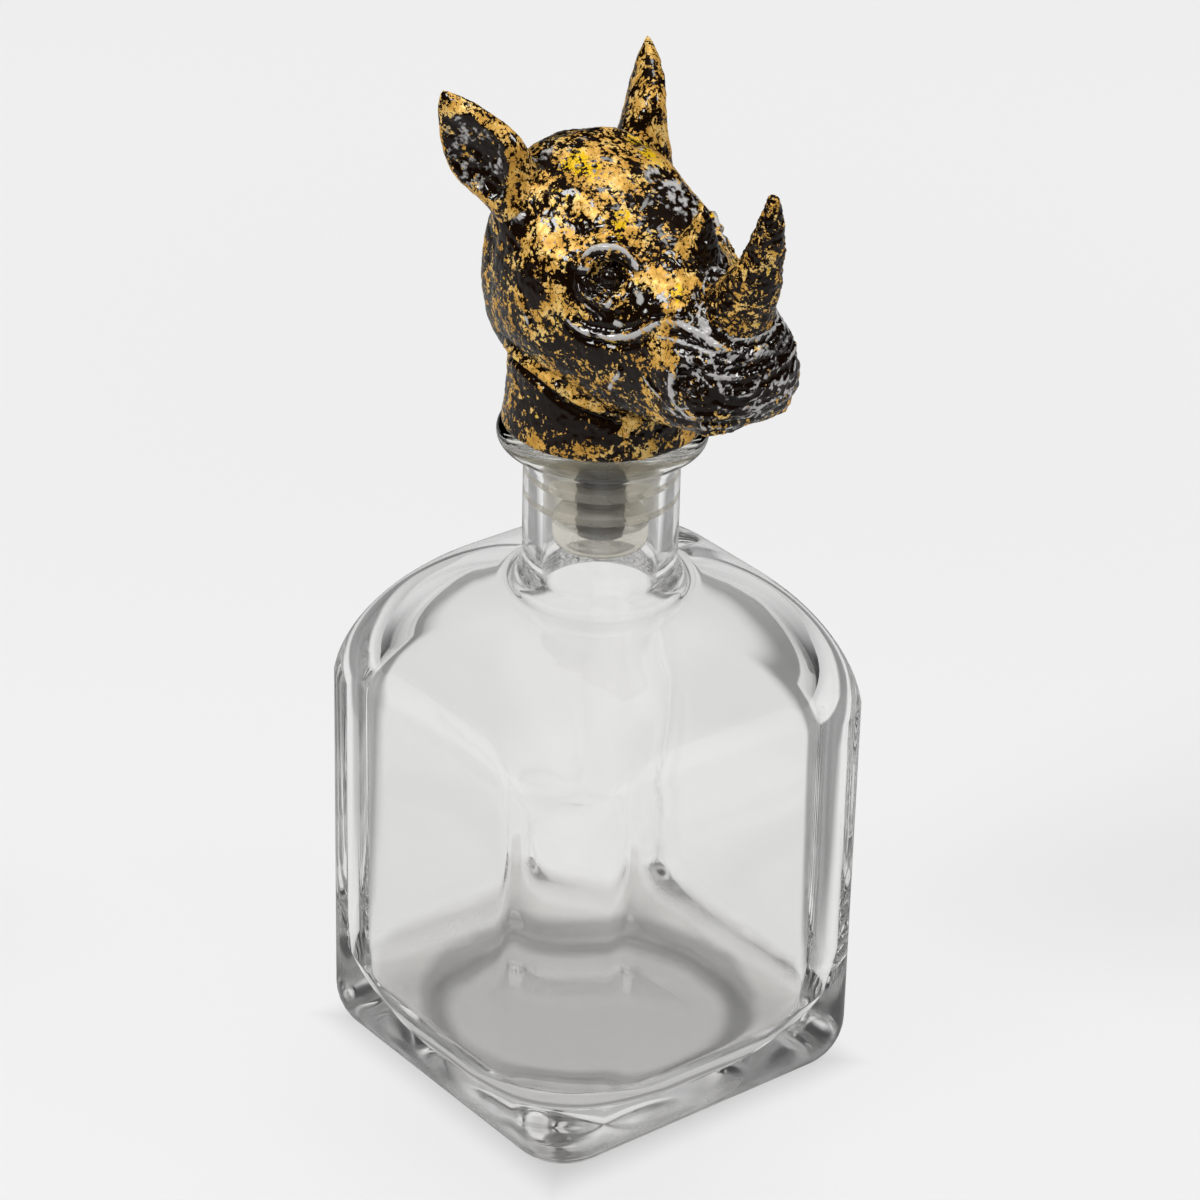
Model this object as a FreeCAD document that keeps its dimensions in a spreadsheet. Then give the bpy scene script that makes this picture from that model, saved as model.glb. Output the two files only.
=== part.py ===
import FreeCAD, Part
import math
import os
import Sketcher

# A square glass decanter with an animal-head stopper.
# Frame: millimetres, +Z up, origin on the table under the middle of the bottle, the head looks along +X.

# Every driving size: sheet alias, value, what it is.
SIZES = (
    ("body_side", 78.0, "glass body, flat to flat"),
    ("corner_radius", 12.6, "upright outer corners of the body"),
    ("heel_radius", 10.0, "outer rounding round the base"),
    ("shoulder_start", 79.5, "height where the walls start to close in"),
    ("shoulder_rise", 23.5, "height of the shoulder"),
    ("neck_diameter", 29.0, "outside of the neck"),
    ("bottle_height", 135.5, "table to the top of the rim"),
    ("rim_diameter", 39.0, "outside of the beaded rim"),
    ("rim_depth", 4.5, "height of the beaded rim"),
    ("bore_diameter", 21.5, "mouth, a common bar-top size"),
    ("mouth_chamfer", 0.8, "lead-in at the mouth"),
    ("wall_thickness", 4.0, "glass wall"),
    ("floor_thickness", 8.0, "glass under the liquid"),
    ("inner_corner_radius", 15.0, "upright inner corners"),
    ("inner_heel_radius", 12.0, "inner rounding round the floor"),
    ("punt_diameter", 44.0, "hollow under the base"),
    ("punt_depth", 1.6, "depth of that hollow"),
    ("stem_diameter", 9.0, "metal core of the stopper"),
    ("stem_groove_diameter", 7.4, "core under each seal"),
    ("stud_diameter", 8.0, "threaded top of the core"),
    ("stud_length", 11.0, "how far the stud goes into the head"),
    ("ring_thickness", 2.0, "one seal ring"),
    ("ring_pitch", 4.7, "from one ring to the next"),
    ("first_ring_drop", 6.2, "rim top to the middle of the upper ring"),
    ("end_plug_diameter", 18.0, "seal at the end of the core"),
    ("end_plug_length", 6.2, "height of that seal"),
    ("end_plug_gap", 2.2, "space between the lower ring and the end seal"),
    ("end_plug_radius", 3.0, "rounding of its lower edge"),
    ("knob_length", 1.8, "end of the core that the end seal snaps over"),
    ("knob_neck_length", 1.6, "thin part of the core behind it"),
    ("knob_neck_diameter", 6.0, "thickness there"),
    ("seal_clearance", 0.05, "seal to core and seal to glass"),
    ("glue_gap", 0.05, "pegs and sleeve in their sockets"),
    ("insert_diameter", 12.0, "brass sleeve in the head"),
    ("insert_length", 12.0, "length of the sleeve"),
    ("insert_flange_diameter", 15.0, "flange at the sleeve's mouth"),
    ("insert_flange_thickness", 1.5, "flange thickness"),
    ("socket_floor_gap", 2.0, "room above the sleeve"),
    ("pedestal_diameter", 37.4, "foot of the head on the rim"),
    ("waist_diameter", 35.4, "narrowest place of the pedestal"),
    ("waist_height", 8.5, "rim top to the waist"),
    ("pedestal_height", 27.0, "rim top to the pedestal's top inside the head"),
    ("nape_x", -22.2, "back of the head"),
    ("nape_half", 8.0, "half width at the back of the head"),
    ("nape_top", 38.0, "upper edge there, above the rim"),
    ("nape_wide", 28.0, "height of the widest place there, above the rim"),
    ("nape_base", 19.0, "lower edge there, above the rim"),
    ("poll_step", 3.4, "from the nape forward to the poll"),
    ("poll_half", 13.5, "half width"),
    ("poll_top", 46.5, "upper edge"),
    ("poll_wide", 28.0, "widest place"),
    ("poll_base", 13.5, "lower edge"),
    ("crown_step", 9.0, "from the poll to the crown"),
    ("crown_half", 18.5, "half width"),
    ("crown_top", 53.0, "upper edge"),
    ("crown_wide", 28.0, "widest place"),
    ("crown_base", 12.3, "lower edge"),
    ("brow_step", 12.0, "from the crown to the brow"),
    ("brow_half", 20.6, "half width"),
    ("brow_top", 53.0, "upper edge"),
    ("brow_wide", 29.0, "widest place"),
    ("brow_base", 12.5, "lower edge"),
    ("cheek_step", 12.0, "from the brow to the cheek"),
    ("cheek_half", 17.8, "half width"),
    ("cheek_top", 47.6, "upper edge"),
    ("cheek_wide", 28.0, "widest place"),
    ("cheek_base", 11.5, "lower edge"),
    ("bridge_step", 12.0, "from the cheek to the nose bridge"),
    ("bridge_half", 13.2, "half width"),
    ("bridge_top", 41.0, "upper edge"),
    ("bridge_wide", 24.5, "widest place"),
    ("bridge_base", 11.9, "lower edge"),
    ("muzzle_step", 9.4, "from the bridge to the muzzle"),
    ("muzzle_half", 12.2, "half width"),
    ("muzzle_top", 37.0, "upper edge"),
    ("muzzle_wide", 23.0, "widest place"),
    ("muzzle_base", 13.7, "lower edge"),
    ("lip_step", 6.4, "from the muzzle to the lip"),
    ("lip_half", 10.6, "half width"),
    ("lip_top", 32.5, "upper edge"),
    ("lip_wide", 22.5, "widest place"),
    ("lip_base", 15.6, "lower edge"),
    ("snout_step", 2.6, "from the lip to the flat end of the snout"),
    ("snout_half", 7.0, "half width"),
    ("snout_top", 28.0, "upper edge"),
    ("snout_wide", 22.5, "widest place"),
    ("snout_base", 18.2, "lower edge"),
    ("brow_ridge_x", 14.5, "middle of the ridge over an eye"),
    ("brow_ridge_height", 40.1, "ridge above the rim"),
    ("brow_ridge_inset", 3.5, "middle of the ridge under the skin"),
    ("brow_ridge_length", 12.0, "back to front"),
    ("brow_ridge_width", 7.2, "side to side"),
    ("brow_ridge_depth", 7.2, "top to bottom"),
    ("brow_ridge_angle", 35.0, "degrees that it slopes down to the front"),
    ("eye_x", 17.3, "middle of an eye socket, on the skin"),
    ("eye_height", 38.0, "socket above the rim"),
    ("eye_socket_diameter", 6.4, "width of the socket"),
    ("eyeball_diameter", 4.2, "width of the eyeball"),
    ("eyeball_sink", 2.0, "middle of the eyeball under the skin"),
    ("nostril_x", 38.8, "middle of a nostril, on the skin"),
    ("nostril_height", 26.0, "nostril above the rim"),
    ("nostril_inset", 0.0, "middle of the nostril under the skin"),
    ("nostril_length", 6.8, "back to front"),
    ("nostril_width", 4.8, "twice its depth in the skin"),
    ("nostril_depth", 4.4, "top to bottom"),
    ("nostril_angle", 0.0, "degrees that it slopes down to the front"),
    ("ear_root_x", -8.0, "middle of the ear's root"),
    ("ear_root_y", 15.4, "from the middle plane to the ear's root"),
    ("ear_root_height", 44.6, "ear's root above the rim"),
    ("ear_length", 22.6, "root to tip"),
    ("ear_width", 15.5, "widest place of the leaf"),
    ("ear_depth", 7.4, "front to back at the widest place"),
    ("ear_splay_angle", 22.8, "degrees that the ear leans out"),
    ("ear_sweep_angle", 30.5, "degrees that the ear leans back"),
    ("ear_wall", 1.5, "thickness of the cup"),
    ("front_horn_x", 36.6, "middle of the front horn's root"),
    ("front_horn_height", 35.0, "root above the rim"),
    ("front_horn_length", 25.3, "root to tip along the horn"),
    ("front_horn_diameter", 14.0, "thickness at the root"),
    ("front_horn_lean_angle", 36.0, "degrees forward at the root"),
    ("front_horn_curl_angle", 32.0, "degrees that it turns back up by the tip"),
    ("rear_horn_x", 24.6, "middle of the rear horn's root"),
    ("rear_horn_height", 40.0, "root above the rim"),
    ("rear_horn_length", 11.0, "root to tip"),
    ("rear_horn_diameter", 10.0, "thickness at the root"),
    ("rear_horn_lean_angle", 14.0, "degrees forward at the root"),
    ("rear_horn_curl_angle", 8.0, "degrees that it turns back up by the tip"),
    ("peg_diameter", 4.0, "pegs of the ears and horns"),
    ("peg_length", 5.0, "how far a peg goes into the head"),
)

# The shoulder closes in as a superellipse; the steps are shares of its rise.
SHOULDER_POWER = 2.3
SHOULDER_STEPS = (0.0, 0.35, 0.6, 0.8, 0.92, 0.9886)
SHOULDER_ROUNDING = 0.5
# Corners take up at most this share of a section's half width, so that four flats are always left.
ROUNDEST_SHARE = 0.996
# Largest fillet along the foot of an upright corner, as a share of that corner's radius.
FILLET_SHARE = 0.9
FLARE_INSET = 0.3
# Flat part of a head section at its top and at its foot, as shares of the half width.
CREST_SHARE = 0.25
SOLE_SHARE = 0.7

# Leaf of the ear: share of its length, share of the full width, share of the full depth.
EAR_LEAF = ((-0.12, 0.58, 1.0), (0.12, 0.82, 1.1), (0.38, 1.0, 1.06), (0.68, 0.71, 0.78), (1.0, 0.08, 0.09))
EAR_HOLLOW = ((0.14, 0.3, 0.3), (0.38, 1.0, 1.0), (0.68, 0.8, 0.8), (0.92, 0.16, 0.2))
# Way that the right ear's cup looks: mostly outward and a little forward.
EAR_FACING = (0.45, -1.0, 0.0)
# Way that the right eye looks.
EYE_FACING = (0.48, -0.77, 0.42)
# Horn: share of its length, share of the root's thickness.
FRONT_HORN_TAPER = ((-0.14, 1.0), (0.0, 0.96), (0.25, 0.74), (0.55, 0.5), (0.82, 0.34), (1.0, 0.12))
REAR_HORN_TAPER = ((-0.2, 1.06), (0.0, 1.0), (0.4, 0.66), (0.75, 0.34), (1.0, 0.1))

HEAD_STATIONS = ("nape", "poll", "crown", "brow", "cheek", "bridge", "muzzle", "lip", "snout")

VOLUME_TOLERANCE = 1e-6
HEIGHT_TOLERANCE = 1e-4
STRAIGHT_ANGLE = 1e-9

doc = FreeCAD.newDocument("decanter")
sheet = doc.addObject("Spreadsheet::Sheet", "Sizes")
for row, (alias, value, meaning) in enumerate(SIZES, start=1):
    sheet.set(f"A{row}", alias)
    sheet.set(f"B{row}", str(value))
    sheet.setAlias(f"B{row}", alias)
    sheet.set(f"C{row}", meaning)
doc.recompute()


def size(alias):
    """Value of one cell of the sheet."""
    return float(getattr(sheet, alias))


def worth(formula):
    """Value of a formula over the sheet's cells."""
    found = sheet.evalExpression(formula)
    return float(getattr(found, "Value", found))


def s(alias):
    """Name of a cell as formulas write it."""
    return f"Sizes.{alias}"


def new_body(label):
    body = doc.addObject("PartDesign::Body", label)
    body.Label = label
    return body


def plane_of(body, role):
    for feature in body.Origin.OriginFeatures:
        if feature.Role == role:
            return feature
    raise ValueError(f"{body.Label} has no {role}")


def new_sketch(body, name, role, offset=None):
    """Sketch on one of the body's own planes, moved off it by the formula offset."""
    sketch = body.newObject("Sketcher::SketchObject", name)
    sketch.AttachmentSupport = (plane_of(body, role), [""])
    sketch.MapMode = "FlatFace"
    if offset is not None:
        sketch.setExpression("AttachmentOffset.Base.z", offset)
    return sketch


def pin_corner(sketch, geometry, end, axis, formula):
    """Ties one coordinate of a sketch corner to a formula; a leading minus puts it on the far side."""
    kind = "DistanceX" if axis == 0 else "DistanceY"
    if formula == "0":
        cross_axis = -2 if axis == 0 else -1
        sketch.addConstraint(Sketcher.Constraint("PointOnObject", geometry, end, cross_axis))
        return
    positive = formula.lstrip("-")
    root, corner = (-1, 1), (geometry, end)
    first, second = (corner, root) if formula.startswith("-") else (root, corner)
    index = sketch.addConstraint(Sketcher.Constraint(kind, *first, *second, worth(positive)))
    sketch.setExpression(f"Constraints[{index}]", positive)


def draw_outline(sketch, corners, arcs=None):
    """Closed outline through corners given as formulas. arcs maps a side's number to its radius and turn."""
    arcs = arcs or {}
    points = []
    for across, along in corners:
        values = [-worth(f[1:]) if f.startswith("-") else worth(f) for f in (across, along)]
        points.append(FreeCAD.Vector(values[0], values[1], 0))
    ends = []
    for side, start in enumerate(points):
        stop = points[(side + 1) % len(points)]
        if side not in arcs:
            geometry = sketch.addGeometry(Part.LineSegment(start, stop), False)
            ends.append((geometry, 1, 2))
            continue
        formula, turn = arcs[side]
        radius = worth(formula)
        chord = stop - start
        height = math.sqrt(max(radius * radius - chord.Length ** 2 / 4, 0.0))
        left = FreeCAD.Vector(-chord.y, chord.x, 0).normalize()
        centre = (start + stop) * 0.5 + left * (height * turn)
        first, last = (start, stop) if turn > 0 else (stop, start)
        angles = [math.atan2(p.y - centre.y, p.x - centre.x) for p in (first, last)]
        circle = Part.Circle(centre, FreeCAD.Vector(0, 0, 1), radius)
        geometry = sketch.addGeometry(Part.ArcOfCircle(circle, *angles), False)
        ends.append((geometry, 1, 2) if turn > 0 else (geometry, 2, 1))
        index = sketch.addConstraint(Sketcher.Constraint("Radius", geometry, radius))
        sketch.setExpression(f"Constraints[{index}]", formula)
    for side, (geometry, start, stop) in enumerate(ends):
        after, after_start, _ = ends[(side + 1) % len(ends)]
        sketch.addConstraint(Sketcher.Constraint("Coincident", geometry, stop, after, after_start))
    for (geometry, start, stop), (across, along) in zip(ends, corners):
        pin_corner(sketch, geometry, start, 0, across)
        pin_corner(sketch, geometry, start, 1, along)


def rounded_square_outline(sketch, half, radius):
    """Square with round corners about the origin."""
    flat = f"({half} - {radius})"
    corners = (
        (f"-{flat}", f"-{half}"), (flat, f"-{half}"), (half, f"-{flat}"), (half, flat),
        (flat, half), (f"-{flat}", half), (f"-{half}", flat), (f"-{half}", f"-{flat}"),
    )
    draw_outline(sketch, corners, {side: (radius, 1) for side in (1, 3, 5, 7)})


def tangent_radius(across, rise):
    """Radius of an arc that leaves a side wall tangent to it and ends across and rise away."""
    return f"((({across}) ^ 2 + ({rise}) ^ 2) / (2 * ({across})))"


def head_section_outline(sketch, half, wide, top, base):
    """Section of the head: flat foot, sides that swell to the widest place and a narrow crest."""
    sole, crest = f"({SOLE_SHARE} * {half})", f"({CREST_SHARE} * {half})"
    lower = tangent_radius(f"{half} - {sole}", f"{wide} - {base}")
    upper = tangent_radius(f"{half} - {crest}", f"{top} - {wide}")
    corners = (
        (f"-{sole}", base), (sole, base), (half, wide), (crest, top), (f"-{crest}", top), (f"-{half}", wide),
    )
    draw_outline(sketch, corners, {1: (lower, 1), 2: (upper, 1), 4: (upper, 1), 5: (lower, 1)})


def add_feature(body, kind, name, profile, **values):
    feature = body.newObject(f"PartDesign::{kind}", name)
    feature.Profile = profile
    for key, value in values.items():
        setattr(feature, key, value)
    return feature


def turn_about_z(body, kind, name, sketch):
    """Full turn of a profile about the sketch's upright axis."""
    return add_feature(body, kind, name, sketch, ReferenceAxis=(sketch, ["V_Axis"]), Angle=360.0)


def cut_checked(feature, body):
    """Recomputes and stops if a cut removed nothing."""
    before = feature.BaseFeature.Shape.Volume
    doc.recompute()
    if feature.Shape.Volume > before * (1 - VOLUME_TOLERANCE):
        raise ValueError(f"{body.Label}: {feature.Label} cut nothing")


def edges_at_height(feature, height):
    """Names of the edges that lie wholly at one height."""
    names = []
    for number, edge in enumerate(feature.Shape.Edges, start=1):
        box = edge.BoundBox
        if max(abs(box.ZMin - height), abs(box.ZMax - height)) < HEIGHT_TOLERANCE:
            names.append(f"Edge{number}")
    return names


def shoulder_sections(body, name, half, narrow_half, corner, start, rise):
    """Sections of a shoulder that goes from a rounded square to nearly a circle. Also gives the last one's
    half width and height."""
    sketches = []
    for number, share in enumerate(SHOULDER_STEPS):
        left = (1 - share ** SHOULDER_POWER) ** (1 / SHOULDER_POWER)
        across = f"({narrow_half} + ({half} - {narrow_half}) * {left:.6f})"
        rounding = (1 - left) ** SHOULDER_ROUNDING
        radius = f"min({corner} + ({across} - {corner}) * {rounding:.6f}; {ROUNDEST_SHARE} * {across})"
        height = f"({start} + {rise} * {share})"
        sketch = new_sketch(body, f"{name}_{number}", "XY_Plane", height)
        rounded_square_outline(sketch, across, radius)
        sketches.append(sketch)
    return sketches, across, height


def make_bottle():
    body = new_body("glass_bottle")
    half = f"({s('body_side')} / 2)"
    corner = s("corner_radius")
    neck = f"({s('neck_diameter')} / 2)"
    top = s("bottle_height")
    start = s("shoulder_start")

    plan = new_sketch(body, "plan", "XY_Plane")
    rounded_square_outline(plan, half, corner)
    walls = add_feature(body, "Pad", "walls", plan)
    walls.setExpression("Length", start)
    doc.recompute()
    heel = body.newObject("PartDesign::Fillet", "heel")
    heel.Base = (walls, edges_at_height(walls, 0.0))
    heel.setExpression("Radius", f"min({s('heel_radius')}; {FILLET_SHARE} * {corner})")

    sections, cap, cap_height = shoulder_sections(
        body, "shoulder", half, neck, corner, start, s("shoulder_rise"))
    add_feature(body, "AdditiveLoft", "shoulder", sections[0], Sections=sections[1:])

    bead = f"({s('rim_depth')} / 2)"
    rim = f"({s('rim_diameter')} / 2)"
    flare = f"({cap} - {FLARE_INSET})"
    flare_radius = f"({flare} - {neck})"
    rim_low = f"({top} - {s('rim_depth')})"
    neck_sketch = new_sketch(body, "neck_profile", "XZ_Plane")
    corners = (
        ("0", cap_height), (flare, cap_height), (neck, f"({cap_height} + {flare_radius})"), (neck, rim_low),
        (f"({rim} - {bead})", rim_low), (rim, f"({top} - {bead})"), (f"({rim} - {bead})", top), ("0", top),
    )
    draw_outline(neck_sketch, corners, {1: (flare_radius, -1), 4: (bead, 1), 5: (bead, 1)})
    turn_about_z(body, "Revolution", "neck", neck_sketch)
    doc.recompute()

    inner_half = f"({half} - {s('wall_thickness')})"
    inner_corner = s("inner_corner_radius")
    bore = f"({s('bore_diameter')} / 2)"
    floor = s("floor_thickness")
    floor_sketch = new_sketch(body, "floor_plan", "XY_Plane", floor)
    rounded_square_outline(floor_sketch, inner_half, inner_corner)
    hollow = add_feature(body, "Pocket", "hollow", floor_sketch, Reversed=True)
    hollow.setExpression("Length", f"{start} - {floor}")
    cut_checked(hollow, body)
    inner_heel = body.newObject("PartDesign::Fillet", "inner_heel")
    inner_heel.Base = (hollow, edges_at_height(hollow, size("floor_thickness")))
    inner_heel.setExpression("Radius", f"min({s('inner_heel_radius')}; {FILLET_SHARE} * {inner_corner})")
    doc.recompute()

    sections, roof, roof_height = shoulder_sections(
        body, "inner_shoulder", inner_half, bore, inner_corner, start,
        f"({s('shoulder_rise')} - {s('wall_thickness')})")
    dome = add_feature(body, "SubtractiveLoft", "inner_shoulder", sections[0], Sections=sections[1:])
    cut_checked(dome, body)

    inner_flare = f"({roof} - {FLARE_INSET})"
    inner_flare_radius = f"({inner_flare} - {bore})"
    chamfer = s("mouth_chamfer")
    bore_sketch = new_sketch(body, "bore_profile", "XZ_Plane")
    corners = (
        ("0", roof_height), (inner_flare, roof_height), (bore, f"({roof_height} + {inner_flare_radius})"),
        (bore, f"({top} - {chamfer})"), (f"({bore} + {chamfer})", top), ("0", top),
    )
    draw_outline(bore_sketch, corners, {1: (inner_flare_radius, -1)})
    cut_checked(turn_about_z(body, "Groove", "bore", bore_sketch), body)

    punt = f"({s('punt_diameter')} / 2)"
    depth = s("punt_depth")
    punt_radius = f"(({punt} * {punt} + {depth} * {depth}) / (2 * {depth}))"
    punt_sketch = new_sketch(body, "punt_profile", "XZ_Plane")
    draw_outline(punt_sketch, (("0", "0"), (punt, "0"), ("0", depth)), {1: (punt_radius, 1)})
    cut_checked(turn_about_z(body, "Groove", "punt", punt_sketch), body)
    return body


def ring_height(number):
    """Height of the middle of a seal ring, counted from the top."""
    return f"({s('bottle_height')} - {s('first_ring_drop')} - {s('ring_pitch')} * {number})"


def end_plug_top():
    return f"({ring_height(2)} - {s('ring_thickness')} / 2 - {s('end_plug_gap')})"


def make_seal_ring(label, number):
    """Disc with a rounded edge that sits in a groove of the core and reaches the bore."""
    body = new_body(label)
    half = f"({s('ring_thickness')} / 2)"
    inside = f"({s('stem_groove_diameter')} / 2 + {s('seal_clearance')})"
    outside = f"({s('bore_diameter')} / 2 - {s('seal_clearance')})"
    middle = ring_height(number)
    low, high = f"({middle} - {half})", f"({middle} + {half})"
    edge = f"({outside} - {half})"
    sketch = new_sketch(body, f"{label}_profile", "XZ_Plane")
    corners = ((inside, low), (edge, low), (outside, middle), (edge, high), (inside, high))
    draw_outline(sketch, corners, {1: (half, 1), 2: (half, 1)})
    turn_about_z(body, "Revolution", f"{label}_turned", sketch)
    return body


def make_end_plug():
    """Rounded seal that snaps over the knob at the end of the core."""
    body = new_body("seal_end_plug")
    gap = s("seal_clearance")
    top = end_plug_top()
    low = f"({top} - {s('end_plug_length')})"
    outside = f"({s('end_plug_diameter')} / 2)"
    rounding = s("end_plug_radius")
    neck = f"({s('knob_neck_diameter')} / 2 + {gap})"
    knob = f"({s('stem_diameter')} / 2 + {gap})"
    knob_top = f"({top} - {s('knob_neck_length')} + {gap})"
    knob_low = f"({top} - {s('knob_neck_length')} - {s('knob_length')} - {gap})"
    sketch = new_sketch(body, "end_plug_profile", "XZ_Plane")
    corners = (
        ("0", low), (f"({outside} - {rounding})", low), (outside, f"({low} + {rounding})"), (outside, top),
        (neck, top), (neck, knob_top), (knob, knob_top), (knob, knob_low), ("0", knob_low),
    )
    draw_outline(sketch, corners, {1: (rounding, 1)})
    turn_about_z(body, "Revolution", "end_plug_turned", sketch)
    return body


def make_stem():
    """Turned metal core: stud, three ring grooves and the knob for the end seal."""
    body = new_body("stopper_stem")
    gap = s("seal_clearance")
    head_base = s("bottle_height")
    core = f"({s('stem_diameter')} / 2)"
    groove = f"({s('stem_groove_diameter')} / 2)"
    stud = f"({s('stud_diameter')} / 2)"
    neck = f"({s('knob_neck_diameter')} / 2)"
    seat = end_plug_top()
    knob_top = f"({seat} - {s('knob_neck_length')})"
    knob_low = f"({knob_top} - {s('knob_length')})"
    half_groove = f"({s('ring_thickness')} / 2 + {gap})"
    corners = [("0", knob_low), (core, knob_low), (core, knob_top), (neck, knob_top)]
    corners += [(neck, f"({seat} + {gap})"), (core, f"({seat} + {gap})")]
    for number in (2, 1, 0):
        middle = ring_height(number)
        low, high = f"({middle} - {half_groove})", f"({middle} + {half_groove})"
        corners += [(core, low), (groove, low), (groove, high), (core, high)]
    corners += [(core, head_base), (stud, head_base)]
    stud_top = f"({head_base} + {s('stud_length')})"
    corners += [(stud, stud_top), ("0", stud_top)]
    sketch = new_sketch(body, "stem_profile", "XZ_Plane")
    draw_outline(sketch, corners)
    turn_about_z(body, "Revolution", "stem_turned", sketch)
    return body


def make_insert():
    """Flanged brass sleeve that the stud screws into."""
    body = new_body("threaded_insert")
    base = s("bottle_height")
    inside = f"({s('stud_diameter')} / 2 + {s('glue_gap')})"
    outside = f"({s('insert_diameter')} / 2)"
    flange = f"({s('insert_flange_diameter')} / 2)"
    flange_top = f"({base} + {s('insert_flange_thickness')})"
    top = f"({base} + {s('insert_length')})"
    sketch = new_sketch(body, "insert_profile", "XZ_Plane")
    corners = (
        (inside, base), (flange, base), (flange, flange_top), (outside, flange_top), (outside, top),
        (inside, top),
    )
    draw_outline(sketch, corners)
    turn_about_z(body, "Revolution", "insert_turned", sketch)
    return body


def make_head_form():
    """Head without sockets for its other pieces: a loft through sections along X, on a round pedestal."""
    base = s("bottle_height")
    sections = []
    place = s("nape_x")
    for station in HEAD_STATIONS:
        if station != HEAD_STATIONS[0]:
            place = f"{place} + {s(station + '_step')}"
        heights = [f"({base} + {s(f'{station}_{word}')})" for word in ("wide", "top", "base")]
        sketch = doc.addObject("Sketcher::SketchObject", f"{station}_section")
        sketch.Placement = FreeCAD.Placement(
            FreeCAD.Vector(0, 0, 0), FreeCAD.Rotation(FreeCAD.Vector(1, 1, 1), 120))
        sketch.setExpression("Placement.Base.x", place)
        head_section_outline(sketch, s(f"{station}_half"), *heights)
        sections.append(sketch)
    skull = doc.addObject("Part::Loft", "skull_form")
    skull.Sections = sections
    skull.Solid = True

    rings = []
    steps = (
        ("pedestal_diameter", base),
        ("waist_diameter", f"{base} + {s('waist_height')}"),
        ("waist_diameter", f"{base} + {s('pedestal_height')}"),
    )
    for number, (diameter, height) in enumerate(steps):
        ring = doc.addObject("Part::Circle", f"pedestal_ring_{number}")
        ring.setExpression("Radius", f"{s(diameter)} / 2")
        ring.setExpression("Placement.Base.z", height)
        rings.append(ring)
    pedestal = doc.addObject("Part::Loft", "pedestal_form")
    pedestal.Sections = rings
    pedestal.Solid = True
    return add_relief([skull, pedestal])


def half_width(section, height):
    """Half width of one section of the head at a height."""
    half, wide, top, base = section
    flat, rise = (CREST_SHARE, top - wide) if height > wide else (SOLE_SHARE, wide - base)
    across = half * (1 - flat)
    radius = (across ** 2 + rise ** 2) / (2 * across)
    return half - radius + math.sqrt(max(radius ** 2 - (height - wide) ** 2, 0))


def skin_place(x, height, inset):
    """Place on the head's right side, under its skin, from the two sections beside it."""
    place = size("nape_x")
    skin = []
    for station in HEAD_STATIONS:
        if station != HEAD_STATIONS[0]:
            place += size(f"{station}_step")
        section = [size(f"{station}_{word}") for word in ("half", "wide", "top", "base")]
        skin.append((place, half_width(section, height)))
    ahead = next(number for number, (place, _) in enumerate(skin) if place > x)
    (near_x, near_y), (far_x, far_y) = skin[ahead - 1:ahead + 1]
    across = near_y + (far_y - near_y) * (x - near_x) / (far_x - near_x)
    return FreeCAD.Vector(x, inset - across, size("bottle_height") + height)


def side_oval(name):
    """Oval body on the head's right side and its twin on the left."""
    oval = doc.addObject("Part::Ellipsoid", name)
    for radius, word in (("Radius1", "depth"), ("Radius2", "length"), ("Radius3", "width")):
        oval.setExpression(radius, f"{s(f'{name}_{word}')} / 2")
    middle = skin_place(*(size(f"{name}_{word}") for word in ("x", "height", "inset")))
    turn = FreeCAD.Rotation(FreeCAD.Vector(0, 1, 0), size(f"{name}_angle"))
    oval.Placement = FreeCAD.Placement(middle, turn)
    return [oval, mirrored(f"left_{name}", oval)]


def eye_ball(name, sink):
    """Ball at the right eye, sunk under the skin, and its twin on the left."""
    ball = doc.addObject("Part::Sphere", name)
    ball.setExpression("Radius", f"{s(f'{name}_diameter')} / 2")
    middle = skin_place(size("eye_x"), size("eye_height"), 0)
    ball.Placement.Base = middle - FreeCAD.Vector(*EYE_FACING).normalize() * sink
    return [ball, mirrored(f"left_{name}", ball)]


def add_relief(forms):
    """Joins the main forms and gives them brow ridges, sunk eyes and nostrils."""
    ridged = doc.addObject("Part::MultiFuse", "ridged_form")
    ridged.Shapes = [*forms, *side_oval("brow_ridge")]
    hollows = doc.addObject("Part::MultiFuse", "face_hollows")
    hollows.Shapes = [*eye_ball("eye_socket", 0), *side_oval("nostril")]
    carved = doc.addObject("Part::Cut", "carved_form")
    carved.Base = ridged
    carved.Tool = hollows
    form = doc.addObject("Part::MultiFuse", "head_form")
    form.Shapes = [carved, *eye_ball("eyeball", size("eyeball_sink"))]
    return form


def lean_path(start, lean, curl, length, share):
    """Point and direction on a curved horn axis in the middle plane, a share of the way along it."""
    bend = math.radians(curl) * share / 2
    angle = math.radians(lean)
    middle_angle = angle - bend
    chord = length * share * (math.sin(bend) / bend if abs(bend) > STRAIGHT_ANGLE else 1.0)
    point = start + FreeCAD.Vector(math.sin(middle_angle), 0, math.cos(middle_angle)) * chord
    end_angle = angle - 2 * bend
    return point, FreeCAD.Vector(math.sin(end_angle), 0, math.cos(end_angle))


def make_peg(name, root, direction, extra):
    """Round peg that runs from the head out into the casting; extra widens and deepens it for a socket."""
    peg = doc.addObject("Part::Cylinder", name)
    peg.setExpression("Radius", f"{s('peg_diameter')} / 2 + {extra}")
    peg.setExpression("Height", f"2 * {s('peg_length')} + {extra}")
    inward = size("peg_length") + worth(extra)
    turn = FreeCAD.Rotation(FreeCAD.Vector(0, 0, 1), direction)
    peg.Placement = FreeCAD.Placement(root - direction * inward, turn)
    return peg


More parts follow.
